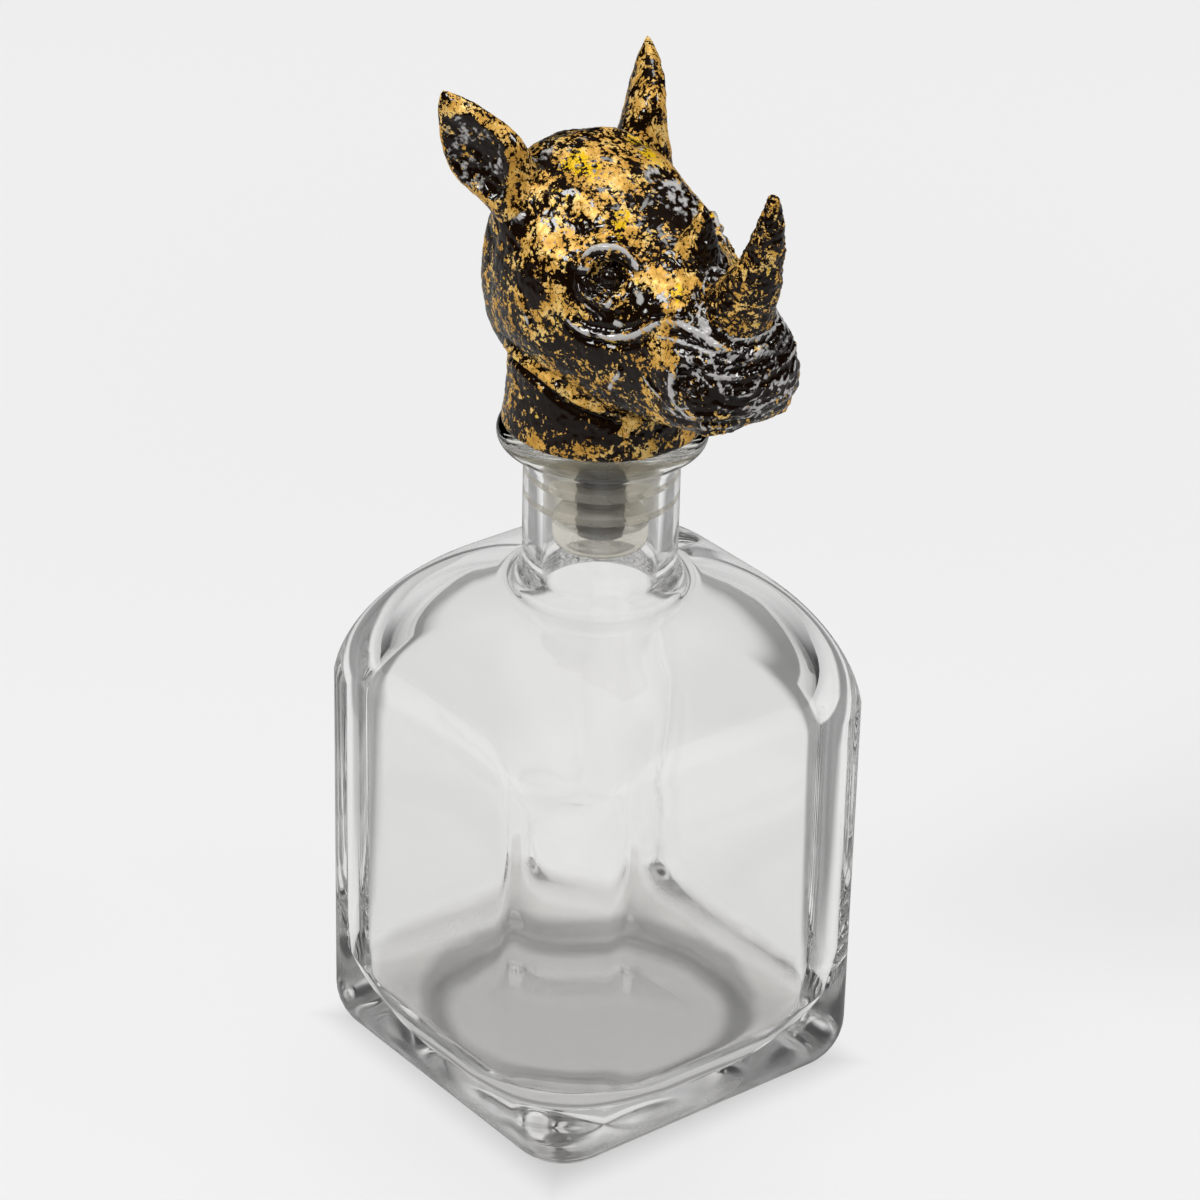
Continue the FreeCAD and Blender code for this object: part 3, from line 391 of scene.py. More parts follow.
# Lumps: size, height, added height in the cup. Folds of the cup: turns, height, wander, size of the wander.
EAR_LUMPS = (1.8, 0.14, 0.15)
EAR_FOLDS = (3.2, 0.25, 2.2, 3.5)
# Leaf outside, its loss in the cup, and the cup's painted grey highlight: even part, by folds, by lumps,
# their size, most.
EAR_GILD, EAR_GILD_LOSS = 0.02, 0.7
EAR_HIGHLIGHT = (0.36, 0.2, 0.5, 1.5, 0.58)

# Horn: share of its length, share of the root's thickness.
FRONT_HORN_TAPER = (
    (-0.2, 1.12), (0.0, 0.98), (0.12, 0.84), (0.25, 0.74), (0.55, 0.52), (0.82, 0.36), (1.0, 0.2),
)
REAR_HORN_TAPER = ((-0.3, 1.2), (0.0, 1.0), (0.4, 0.68), (0.75, 0.38), (1.0, 0.14))
# Horns: node, start of its settings' names, taper, leaf, how worn it is and how much painted highlight it
# gets low down.
HORNS = (
    ("front_horn", "front", FRONT_HORN_TAPER, -0.08, 0.0),
    ("rear_horn", "rear", REAR_HORN_TAPER, 0.25, 0.9),
)
# Points on a horn's axis, and the margin of its box in thicknesses.
HORN_POINTS, HORN_MARGIN = 24, 0.75
# Lumps: size and height of broad and fine ones. Pits: size, width, depth, loss of leaf.
HORN_BROAD, HORN_FINE = (3.0, 0.3), (1.0, 0.14)
HORN_PITS = (1.5, 0.3, 0.18, 0.12)
# A worn horn loses leaf low down and on its bare side, and gets a painted grey highlight low down.
HORN_BASE_SHARE = 0.45
HORN_BARE_WAY = (0.8, 0.6, 0.0)
HORN_BASE_LOSS, HORN_BARE_LOSS = 1.8, 1.4
# Painted grey highlight on a horn's broad lumps, and leaf that its relief adds.
HORN_HIGHLIGHT, HORN_RELIEF_GILD = 0.3, 0.4
# Rays through pixels: share of the camera's distance where they start, share of a gap that a step takes.
RAY_START, RAY_STRIDE = 0.85, 0.7
# Rounds that pull a mesh's points onto its field.
PULL_ROUNDS = 4
# Octaves of lumps: how fast their height falls, and how much finer each is than the one before.
LUMP_OCTAVES = (1.0, 2.0)


def length(name, millimetres, text):
    return bpy.props.FloatProperty(
        name=name, description=text, default=millimetres * MM, min=0.0, unit="LENGTH", precision=5)


def angle(name, degrees, text):
    return bpy.props.FloatProperty(
        name=name, description=text, default=math.radians(degrees), subtype="ANGLE")


def number(name, default, text):
    return bpy.props.FloatProperty(name=name, description=text, default=default, precision=4)


def colour(name, default, text):
    return bpy.props.FloatVectorProperty(
        name=name, description=text, default=(*default, 1.0), size=4, min=0.0, max=1.0, subtype="COLOR")


class BottleSizes(bpy.types.PropertyGroup):
    body_side: length("Body side", 78.0, "Glass body, flat to flat")
    corner: length("Corner", 12.6, "Radius of the upright outer corners")
    heel: length("Heel", 10.0, "Outer rounding round the base")
    shoulder_start: length("Shoulder start", 79.5, "Height where the walls start to close in")
    shoulder_rise: length("Shoulder rise", 23.5, "Height of the shoulder")
    neck: length("Neck", 29.0, "Outside of the neck")
    height: length("Height", 135.5, "Table to the top of the rim")
    rim: length("Rim", 39.0, "Outside of the beaded rim")
    rim_depth: length("Rim depth", 4.5, "Height of the beaded rim")
    bore: length("Bore", 21.5, "Inside of the neck")
    mouth_chamfer: length("Mouth chamfer", 0.8, "Lead-in at the mouth")
    wall: length("Wall", 4.0, "Thickness of the glass")
    floor: length("Floor", 8.0, "Glass under the liquid")
    inner_corner: length("Inner corner", 15.0, "Radius of the upright inner corners")
    inner_heel: length("Inner heel", 10.0, "Inner rounding round the floor")
    punt: length("Punt", 44.0, "Hollow under the base")
    punt_depth: length("Punt depth", 1.6, "Depth of that hollow")
    wave: length("Wave", 0.25, "Unevenness of the blown inside")
    wave_scale: number("Wave scale", 45.0, "Waves of the inside per metre")
    segments: bpy.props.IntProperty(name="Segments", description="Points round a section", default=192)


class SealSizes(bpy.types.PropertyGroup):
    count: bpy.props.IntProperty(name="Rings", description="Number of seal rings", default=3)
    pitch: length("Pitch", 4.7, "From one ring to the next")
    top: length("Top ring", 129.3, "Height of the middle of the top ring")
    thickness: length("Thickness", 2.0, "Thickness of a ring at its root")
    edge: length("Edge", 1.0, "Thickness of a ring at its lip")
    outside: length("Outside", 21.6, "Diameter of a ring, squeezed against the glass")
    inside: length("Inside", 7.6, "Hole of a ring")
    segments: bpy.props.IntProperty(name="Segments", description="Points round a ring", default=96)
    plug: length("End plug", 18.0, "Diameter of the rounded end")
    plug_top: length("End plug top", 116.7, "Height of its upper face")
    plug_low: length("End plug foot", 110.5, "Height of its lower face")
    plug_edge: length("End plug edge", 3.0, "Rounding of its lower edge")


class SculptSettings(bpy.types.PropertyGroup):
    head_step: length("Head step", 0.43, "Mesh step of the head")
    ear_step: length("Ear step", 0.3, "Mesh step of the ears")
    horn_step: length("Horn step", 0.28, "Mesh step of the horns")
    wrinkle: number("Wrinkles", 1.0, "Share of the wrinkles' full height")
    skin: length("Skin", 0.2, "Height of the skin's lumps")
    front_root: length("Front horn root", 36.6, "Distance of the front horn's root along X")
    front_height: length("Front horn height", 170.5, "Height of the front horn's root")
    front_length: length("Front horn length", 25.3, "Root to tip along the horn")
    front_thick: length("Front horn thickness", 14.0, "Thickness at the root")
    front_lean: angle("Front horn lean", 36.0, "Forward lean at the root")
    front_curl: angle("Front horn curl", 32.0, "Turn back up by the tip")
    rear_root: length("Rear horn root", 24.6, "Distance of the rear horn's root along X")
    rear_height: length("Rear horn height", 175.5, "Height of the rear horn's root")
    rear_length: length("Rear horn length", 11.0, "Root to tip along the horn")
    rear_thick: length("Rear horn thickness", 10.0, "Thickness at the root")
    rear_lean: angle("Rear horn lean", 14.0, "Forward lean at the root")
    rear_curl: angle("Rear horn curl", 8.0, "Turn back up by the tip")


class DecanterColours(bpy.types.PropertyGroup):
    glass: colour("Glass", (0.973, 0.972, 0.967), "Clear glass")
    # Painted shade: the floor's grey stands in for the shaded table seen through it.
    glass_foot_shade: colour("Glass foot", (0.72, 0.71, 0.69), "Thick glass of the floor")
    glass_rim: colour("Glass rim", (0.9, 0.89, 0.82), "Bead round the mouth")
    # Painted shade: a dark ring that stands in for the dark refraction at the floor's edge.
    glass_ring_shade: colour("Glass ring", (0.27, 0.266, 0.26), "Round the hollow under the floor")
    ground: colour("Ground", (0.008, 0.0035, 0.0015), "Black resin")
    leaf: colour("Leaf", (0.88, 0.51, 0.11), "Gold leaf")
    # Painted highlight: pale leaf, spread at random by tone and speckle noise.
    pale: colour("Pale leaf", (0.96, 0.7, 0.29), "Gold leaf where it is thick")
    bright: colour("Bright leaf", (0.8, 0.5, 0.01), "Yellow leaf")
    # Painted highlight: grey that stands in for reflections on the bare glossy resin.
    rub: colour("Rub", (0.5, 0.49, 0.48), "Grey rub on the crests")
    silicone: colour("Silicone", (0.98, 0.95, 0.87), "Seals")
    stem: colour("Stem", (0.14, 0.14, 0.14), "Turned metal core")
    brass: colour("Brass", (0.6, 0.42, 0.16), "Threaded insert")
    floor: colour("Floor", (0.863, 0.863, 0.863), "Pale ground of the picture")


class StageSettings(bpy.types.PropertyGroup):
    azimuth: angle("Azimuth", 51.51, "Side that the camera looks from")
    elevation: angle("Elevation", 28.39, "How far the camera looks down")
    roll: angle("Roll", 1.39, "Turn of the camera about its axis")
    lens: number("Lens", 136.316, "Focal length in millimetres on a 36 mm sensor")
    distance: length("Distance", 847.0, "Camera to its target")
    target_side: length("Target side", 0.25, "Target's shift to the right")
    target_height: length("Target height", 97.61, "Target's height")
    key: number("Key", 6.4, "Power of the key lamp")
    fill: number("Fill", 3.8, "Power of the fill lamp")
    top: number("Top", 3.0, "Power of the top lamp")
    ambient: number("Ambient", 0.3, "Even light from all round")


# Nodes


def plug(made, plugs):
    """Fills a node's inputs with values or with other nodes' outputs."""
    for key, value in plugs.items():
        if isinstance(value, bpy.types.NodeSocket):
            made.id_data.links.new(value, made.inputs[key])
        else:
            made.inputs[key].default_value = value


def add_node(tree, kind, plugs=None, **settings):
    """Adds a node, sets its properties and fills its inputs."""
    made = tree.nodes.new(kind)
    for key, value in settings.items():
        setattr(made, key, value)
    plug(made, plugs or {})
    return made


def tree_of(values):
    """Node tree of the sockets among some values."""
    return next(value.id_data for value in values if isinstance(value, bpy.types.NodeSocket))


def calc(operation, *values):
    """Output of a math node."""
    made = add_node(tree_of(values), "ShaderNodeMath", dict(enumerate(values)), operation=operation)
    return made.outputs[0]


def plus(a, b):
    return calc("ADD", a, b)


def minus(a, b):
    return calc("SUBTRACT", a, b)


def times(a, b):
    return calc("MULTIPLY", a, b)


def most(a, b):
    return calc("MAXIMUM", a, b)


def farther(x, y):
    """Output of the larger distance from the axis, along X or along Y."""
    return most(calc("ABSOLUTE", x), calc("ABSOLUTE", y))


def blend_colours(share, first, second, mode="MIX"):
    """Output of a colour mix."""
    plugs = {0: share, 6: first, 7: second}
    made = add_node(tree_of(plugs.values()), "ShaderNodeMix", plugs, data_type="RGBA", blend_type=mode)
    return made.outputs[2]


def blend_shaders(share, first, second):
    """Node that mixes two shader nodes."""
    plugs = {0: share, 1: first.outputs[0], 2: second.outputs[0]}
    return add_node(share.id_data, "ShaderNodeMixShader", plugs)


def cloud(vector, scale, detail, rough=0.5):
    """Output of a noise texture."""
    plugs = {"Vector": vector, "Scale": scale, "Detail": detail, "Roughness": rough}
    return add_node(vector.id_data, "ShaderNodeTexNoise", plugs).outputs[0]


def grey(level):
    return level, level, level, 1.0


def shaded(tint, shares):
    """Colour with a share of each of its channels."""
    return [level * share for level, share in zip(tint, shares)]


def step_between(value, low, high):
    """Soft step from 0 at low to 1 at high."""
    plugs = {0: value, 1: low, 2: high}
    return add_node(value.id_data, "ShaderNodeMapRange", plugs, interpolation_type="SMOOTHSTEP").outputs[0]


def between(share, first, second):
    """Output of a mix of two numbers."""
    return add_node(share.id_data, "ShaderNodeMix", {0: share, 2: first, 3: second}).outputs[0]


def dot(vector, way):
    """Output of a vector's length along a fixed way."""
    made = add_node(vector.id_data, "ShaderNodeVectorMath", {0: vector, 1: way}, operation="DOT_PRODUCT")
    return made.outputs["Value"]


def new_group(name, kind, inputs, outputs):
    """Node group with named sockets. Gives the tree, its input node and its output node."""
    tree = bpy.data.node_groups.new(name, kind)
    for title, socket, default in inputs:
        made = tree.interface.new_socket(title, in_out="INPUT", socket_type=socket)
        if default is not None:
            made.default_value = default
    for title, socket in outputs:
        tree.interface.new_socket(title, in_out="OUTPUT", socket_type=socket)
    return tree, tree.nodes.new("NodeGroupInput"), tree.nodes.new("NodeGroupOutput")


def set_modifier(obj, tree, values):
    """Puts a node group on an object, sets its named inputs, and leaves the result as a plain mesh."""
    modifier = obj.modifiers.new(tree.name, "NODES")
    modifier.node_group = tree
    for item in tree.interface.items_tree:
        if item.in_out == "INPUT" and item.name in values:
            modifier[item.identifier] = values[item.name]
    depsgraph = bpy.context.evaluated_depsgraph_get()
    mesh = bpy.data.meshes.new_from_object(obj.evaluated_get(depsgraph))
    obj.modifiers.clear()
    old = obj.data
    obj.data = mesh
    bpy.data.meshes.remove(old)
    face_outward(mesh)


def face_outward(mesh):
    """Turns a closed mesh so that its faces look outward."""
    mesh.calc_loop_triangles()
    places = np.empty(len(mesh.vertices) * 3)
    mesh.vertices.foreach_get("co", places)
    corners = np.empty(len(mesh.loop_triangles) * 3, dtype=np.int32)
    mesh.loop_triangles.foreach_get("vertices", corners)
    a, b, c = places.reshape(-1, 3)[corners.reshape(-1, 3)].transpose(1, 0, 2)
    volume = np.einsum("ij,ij->i", a, np.cross(b, c)).sum()
    if volume < 0:
        mesh.flip_normals()


def dress(shape, start, end):
    """Ends a geometry group: smooth shading, a plain mesh and the group's material. Gives its tree."""
    tree = shape.id_data
    smooth = add_node(tree, "GeometryNodeSetShadeSmooth", {"Geometry": shape.outputs[0]})
    real = add_node(tree, "GeometryNodeRealizeInstances", {"Geometry": smooth.outputs[0]})
    dressed = add_node(tree, "GeometryNodeSetMaterial", {
        "Geometry": real.outputs[0], "Material": start.outputs["Material"]})
    plug(end, {0: dressed.outputs[0]})
    return tree


def place(obj, body, nodes):
    """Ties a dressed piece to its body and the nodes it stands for."""
    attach(obj, body)
    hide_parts(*nodes)


def new_object(name, mesh):
    obj = bpy.data.objects.new(name, mesh)
    bpy.context.scene.collection.objects.link(obj)
    return obj


# Swept pieces: the bottle and the end plug


def sweep_tree():
    """Sweeps a profile round the upright axis as a rounded square, with an uneven inside."""
    inputs = (
        ("Geometry", "NodeSocketGeometry", None),
        ("Segments", "NodeSocketInt", 192),
        ("Wave Height", "NodeSocketFloat", 0.0),
        ("Wave Scale", "NodeSocketFloat", 40.0),
        ("Material", "NodeSocketMaterial", None),
    )
    outputs = (("Geometry", "NodeSocketGeometry"),)
    tree, start, end = new_group("Swept profile", "GeometryNodeTree", inputs, outputs)
    line = add_node(tree, "GeometryNodeMeshToCurve", {"Mesh": start.outputs["Geometry"]})
    circle = add_node(tree, "GeometryNodeCurvePrimitiveCircle", {
        "Resolution": start.outputs["Segments"], "Radius": SWEEP_RADIUS})
    along = add_node(tree, "GeometryNodeSplineParameter")
    capture = tree.nodes.new("GeometryNodeCaptureAttribute")
    capture.capture_items.new("FLOAT", "Turn")
    plug(capture, {0: circle.outputs["Curve"], 1: along.outputs["Factor"]})
    swept = add_node(tree, "GeometryNodeCurveToMesh", {
        "Curve": line.outputs["Curve"], "Profile Curve": capture.outputs[0]})

    def stored(name):
        return add_node(tree, "GeometryNodeInputNamedAttribute", {"Name": name}, data_type="FLOAT").outputs[0]

    half, corner = stored("half"), stored("corner")
    quarter = times(capture.outputs[1], 4.0)
    side = calc("FLOOR", quarter)
    part = calc("FRACT", quarter)
    bend = add_node(tree, "ShaderNodeMapRange", {0: part, 1: FLAT_SHARE, 2: 1.0 - FLAT_SHARE}).outputs[0]
    heading = times(plus(side, bend), math.pi / 2)
    reach = minus(half, corner)
    rising = calc("MINIMUM", calc("DIVIDE", part, FLAT_SHARE), 1.0)
    rest = minus(1.0, part)
    falling = calc("MINIMUM", calc("DIVIDE", rest, FLAT_SHARE), 1.0)
    slide = add_node(tree, "ShaderNodeCombineXYZ", {
        0: times(reach, falling), 1: times(reach, rising)})
    turned = add_node(tree, "ShaderNodeVectorRotate", {
        "Vector": slide.outputs[0], "Angle": times(side, math.pi / 2)},
        rotation_type="Z_AXIS")
    arc = add_node(tree, "ShaderNodeCombineXYZ", {
        0: times(corner, calc("COSINE", heading)),
        1: times(corner, calc("SINE", heading)),
        2: stored("height")})
    spot = add_node(tree, "ShaderNodeVectorMath", {0: turned.outputs[0], 1: arc.outputs[0]}, operation="ADD")
    shaped = add_node(tree, "GeometryNodeSetPosition", {
        "Geometry": swept.outputs[0], "Position": spot.outputs[0]})
    merged = add_node(tree, "GeometryNodeMergeByDistance", {
        "Geometry": shaped.outputs[0], "Distance": MERGE_DISTANCE})

    wave = add_node(tree, "ShaderNodeTexNoise", {
        "Scale": start.outputs["Wave Scale"], "Detail": WAVE_DETAIL})
    lift = times(minus(wave.outputs[0], 0.5), 2.0)
    lift = times(times(lift, start.outputs["Wave Height"]), stored("inside"))
    normal = add_node(tree, "GeometryNodeInputNormal")
    push = add_node(tree, "ShaderNodeVectorMath", {0: normal.outputs[0], "Scale": lift}, operation="SCALE")
    waved = add_node(tree, "GeometryNodeSetPosition", {
        "Geometry": merged.outputs[0], "Offset": push.outputs[0]})
    return dress(waved, start, end)


def profile_object(name, rows):
    """Line of points that carries half width, corner radius, height and how far a row is inside."""
    mesh = bpy.data.meshes.new(name)
    points = [(half, 0.0, height) for half, _, height, _ in rows]
    mesh.from_pydata(points, [(i, i + 1) for i in range(len(rows) - 1)], [])
    for column, title in enumerate(("half", "corner", "height", "inside")):
        layer = mesh.attributes.new(title, "FLOAT", "POINT")
        layer.data.foreach_set("value", [row[column] for row in rows])
    return new_object(name, mesh)


def quarter_turn(steps=ARC_STEPS):
    """Sine and cosine over a quarter turn."""
    turns = [math.pi / 2 * i / steps for i in range(steps + 1)]
    return [(math.sin(turn), math.cos(turn)) for turn in turns]


def shoulder_rows(half, narrow, corner, start, rise, inside):
    """Rows of a shoulder that closes in from a rounded square to nearly a circle."""
    rows = []
    last = math.asin(SHOULDER_END ** (SHOULDER_POWER / 2))
    for i in range(SHOULDER_ROWS + 1):
        turn = last * i / SHOULDER_ROWS
        up, left = (share ** (2 / SHOULDER_POWER) for share in (math.sin(turn), math.cos(turn)))
        across = narrow + (half - narrow) * left
        radius = corner + (across - corner) * (1 - left) ** SHOULDER_ROUNDING
        rows.append((across, min(radius, across), start + rise * up, inside))
    return rows


def round_row(radius, height, inside=0.0):
    """Row of a profile where it is round."""
    return radius, radius, height, inside


def flare_rows(wide, narrow, height, inside):
    """Rows of the concave flare between a shoulder and a neck."""
    radius = wide - narrow
    return [round_row(wide - radius * s, height + radius * (1 - c), inside) for s, c in quarter_turn()]


def even_rows(first, last, steps):
    """Rows spread evenly between two rows, without the first."""
    return [tuple(a + (b - a) * i / steps for a, b in zip(first, last)) for i in range(1, steps + 1)]


def bottle_rows(sizes):
    """Profile from the middle of the base, over the rim and down to the middle of the inner floor."""
    half, corner, heel = sizes.body_side / 2, sizes.corner, sizes.heel
    punt, neck, bore, rim = sizes.punt / 2, sizes.neck / 2, sizes.bore / 2, sizes.rim / 2
    bead = sizes.rim_depth / 2
    rows = []
    for i in range(FLOOR_ROWS + 1):
        rows.append(round_row(punt * i / FLOOR_ROWS, sizes.punt_depth * (1 - (i / FLOOR_ROWS) ** 2)))
    for s, c in quarter_turn():
        rows.append((half - heel + heel * s, corner - heel + heel * s, heel - heel * c, 0.0))
    rows += even_rows(rows[-1], (half, corner, sizes.shoulder_start, 0.0), WALL_ROWS)
    shoulder = shoulder_rows(half, neck, corner, sizes.shoulder_start, sizes.shoulder_rise, 0.0)
    rows += shoulder[1:-1]
    rows += flare_rows(shoulder[-1][0] - FLARE_INSET, neck, shoulder[-1][2], 0.0)
    under_rim = sizes.height - sizes.rim_depth
    fillet = bead * RIM_FILLET
    rows += even_rows(rows[-1], round_row(neck, under_rim - fillet), WALL_ROWS)
    rows.append(round_row(neck + fillet, under_rim))
    for s, c in quarter_turn():
        rows.append(round_row(rim - bead + bead * s, under_rim + bead - bead * c))
    for s, c in quarter_turn()[1:]:
        rows.append(round_row(rim - bead + bead * c, sizes.height - bead + bead * s))
    rows.append(round_row(bore + sizes.mouth_chamfer, sizes.height))
    rows.append(round_row(bore, sizes.height - sizes.mouth_chamfer))

    inner_half, inner_corner, inner_heel = half - sizes.wall, sizes.inner_corner, sizes.inner_heel
    inner = shoulder_rows(inner_half, bore, inner_corner, sizes.shoulder_start,
                          sizes.shoulder_rise - sizes.wall, 1.0)
    flare = flare_rows(inner[-1][0] - FLARE_INSET, bore, inner[-1][2], FLARE_WAVE)
    rows += even_rows(rows[-1], round_row(bore, flare[-1][2]), WALL_ROWS)
    rows += flare[-2::-1]
    rows += inner[-2::-1]
    rows += even_rows(rows[-1], (inner_half, inner_corner, sizes.floor + inner_heel, 1.0), WALL_ROWS)
    for s, c in quarter_turn()[-2::-1]:
        across = inner_half - inner_heel + inner_heel * s
        radius = inner_corner + (across - inner_corner) * (1 - s) ** FLOOR_ROUNDING
        rows.append((across, radius, sizes.floor + inner_heel - inner_heel * c, 1.0))
    rows += even_rows(rows[-1], round_row(0.0, sizes.floor, 1.0), FLOOR_ROWS)
    return rows


def plug_rows(sizes):
    """Profile of the stopper's rounded end, from the middle of its top round to the middle of its foot."""
    radius, edge = sizes.plug / 2, sizes.plug_edge
    lip = edge * PLUG_LIP
    rows = [round_row(0.0, sizes.plug_top), round_row(radius * PLUG_FLAT, sizes.plug_top)]
    for s, c in quarter_turn():
        rows.append(round_row(radius - lip + lip * s, sizes.plug_top - lip + lip * c))
    for s, c in quarter_turn():
        rows.append(round_row(radius - edge + edge * c, sizes.plug_low + edge - edge * s))
    rows.append(round_row(0.0, sizes.plug_low))
    return rows


# Seal rings


def ring_tree():
    """A row of rounded rings below one another."""
    inputs = [("Geometry", "NodeSocketGeometry", None), ("Material", "NodeSocketMaterial", None)]
    inputs += [(title, "NodeSocketFloat", None) for title in RING_LENGTHS]
    inputs += [(title, "NodeSocketInt", None) for title in RING_COUNTS]
    outputs = (("Geometry", "NodeSocketGeometry"),)
    tree, start, end = new_group("Seal rings", "GeometryNodeTree", inputs, outputs)
    get = start.outputs
    middle = times(plus(get["Outside"], get["Inside"]), 0.25)
    depth = times(minus(get["Outside"], get["Inside"]), 0.5)
    path = add_node(tree, "GeometryNodeCurvePrimitiveCircle", {
        "Resolution": get["Segments"], "Radius": middle})
    root = times(get["Thickness"], 0.5)
    edge = times(get["Edge"], 0.5)
    out = times(depth, 0.5)

    def corner(side, rise, way):
        return add_node(tree, "ShaderNodeCombineXYZ", {
            0: times(out, side), 1: times(rise, way)}).outputs[0]

    section = add_node(tree, "GeometryNodeCurvePrimitiveQuadrilateral", {
        "Point 1": corner(-1.0, edge, -1.0), "Point 2": corner(1.0, root, -1.0),
        "Point 3": corner(1.0, root, 1.0), "Point 4": corner(-1.0, edge, 1.0)}, mode="POINTS")
    soft = add_node(tree, "GeometryNodeFilletCurve", {
        "Curve": section.outputs[0], "Radius": times(get["Edge"], RING_FILLET), "Count": RING_FILLET_STEPS},
        mode="POLY")
    ring = add_node(tree, "GeometryNodeCurveToMesh", {
        "Curve": path.outputs["Curve"], "Profile Curve": soft.outputs[0]})
    first = add_node(tree, "ShaderNodeCombineXYZ", {2: get["Top"]})
    drop = add_node(tree, "ShaderNodeCombineXYZ", {2: times(get["Pitch"], -1.0)})
    row = add_node(tree, "GeometryNodeMeshLine", {
        "Count": get["Count"], "Start Location": first.outputs[0], "Offset": drop.outputs[0]})
    rings = add_node(tree, "GeometryNodeInstanceOnPoints", {
        "Points": row.outputs[0], "Instance": ring.outputs[0]})
    return dress(rings, start, end)


# Sculpted pieces: fields in millimetres that are negative inside


def ellipsoid(points, middle, radii, tilt=0.0):
    """Rough distance to an ellipsoid, tilted about Y."""
    radii = np.asarray(radii, float)
    off = points - np.asarray(middle, float)
    if tilt:
        c, s = math.cos(math.radians(tilt)), math.sin(math.radians(tilt))
        x, y, z = off[..., 0], off[..., 1], off[..., 2]
        off = np.stack((c * x - s * z, y, s * x + c * z), -1)
    scaled = off / radii
    near = np.sqrt((scaled ** 2).sum(-1))
    steep = np.sqrt(((scaled / radii) ** 2).sum(-1))
    return near * (near - 1) / np.maximum(steep, TINY)


def ease(places, stops, values):
    """Smooth curve through some values."""
    stops, values = np.asarray(stops, float), np.asarray(values, float)
    slopes = np.gradient(values, stops)
    places = np.clip(places, stops[0], stops[-1])
    low = np.clip(np.searchsorted(stops, places, side="right") - 1, 0, len(stops) - 2)
    gap = stops[low + 1] - stops[low]
    t = (places - stops[low]) / gap
    a, b = values[low], values[low + 1]
    first, second = slopes[low] * gap, slopes[low + 1] * gap
    return a + t * (first + t * (3 * (b - a) - 2 * first - second + t * (2 * (a - b) + first + second)))


def ramp(values, low, high):
    """Even rise from 0 at low to 1 at high, which may be the smaller one."""
    return np.clip((values - low) / (high - low), 0, 1)


def to_near_side(points):
    """Places mirrored to the side of the middle plane that the photograph shows."""
    return np.stack((points[..., 0], -np.abs(points[..., 1]), points[..., 2]), -1)


def join(a, b, width):
    """Union with a blended seam."""
    seam = np.maximum(width - np.abs(a - b), 0) / width
    return np.minimum(a, b) - seam * seam * width / 4


def carve(a, b, width):
    """The first field with the second taken out of it."""
    return -join(-a, b, width)


def limit(a, b, width):
    """What lies in both fields, with a blended edge."""
    return -join(-a, -b, width)


def head_sections(points):
    """Rough distance to a body with the head's sections: flat foot, swelling sides and a narrow crest."""
    x, y, z = points[..., 0], np.abs(points[..., 1]), points[..., 2]
    _, stops, *columns = zip(*HEAD_STATIONS)
    half, top, wide, foot = (ease(x, stops, column) for column in columns)

    def side(flat, rise):
        across = half - flat
        radius = (across ** 2 + rise ** 2) / (2 * across)
        return np.hypot(y - half + radius, z - wide) - radius

    upper = limit(side(CREST_SHARE * half, top - wide), z - top, CREST_BLEND)
    lower = limit(side(SOLE_SHARE * half, wide - foot), foot - z, SOLE_BLEND)
    form = np.where(z > wide, upper, lower)
    return limit(limit(form, HEAD_BACK - x, HEAD_END_BLEND), x - HEAD_FRONT, HEAD_END_BLEND)


def head_form(points):
    """Head without eyes, nostrils or wrinkles."""
    folded = np.stack((points[..., 0], np.abs(points[..., 1]), points[..., 2]), -1)
    form = head_sections(points)
    for _, middle, radii, tilt, width in HEAD_MASSES:
        form = join(form, ellipsoid(folded, middle, radii, tilt), width)
    middle, radii, width = TEMPLE
    form = carve(form, ellipsoid(folded, middle, radii), width)
    heights, radii = zip(*NECK_PROFILE)
    height = points[..., 2]
    across = np.hypot(points[..., 0], points[..., 1])
    neck = np.maximum(across - np.interp(height, heights, radii), height - NECK_TOP)
    form = join(form, neck, NECK_BLEND)
    return limit(form, heights[0] - height, FOOT_EDGE)


class Head:
    """Field of the whole head, with what the photograph places on it."""

    def __init__(self, view):
        self.eye = view.meet(head_form, [EYE_PIXEL])[0]
        self.nostril = view.meet(head_form, [NOSTRIL_PIXEL])[0]
        self.eye_way = slope(head_form, self.eye[None])[0]
        self.pupil = view.meet(head_form, [PUPIL_PIXEL])[0]

    def field(self, points):
        folded = to_near_side(points)
        form = head_form(points)
        form = carve(form, ellipsoid(folded, self.eye, SOCKET_RADII), SOCKET_BLEND)
        ball = np.linalg.norm(folded - self.eye + self.eye_way * EYE_SINK, axis=-1) - EYE_RADIUS
        form = join(form, ball, EYE_BLEND)
        return carve(form, ellipsoid(folded, self.nostril, NOSTRIL_RADII), NOSTRIL_BLEND)


def slope(field, points, reach=0.05):
    """Unit normals of a field."""
    steps = np.eye(3) * reach
    rise = np.stack([field(points + step) - field(points - step) for step in steps], -1)
    return rise / np.maximum(np.linalg.norm(rise, axis=-1, keepdims=True), TINY)


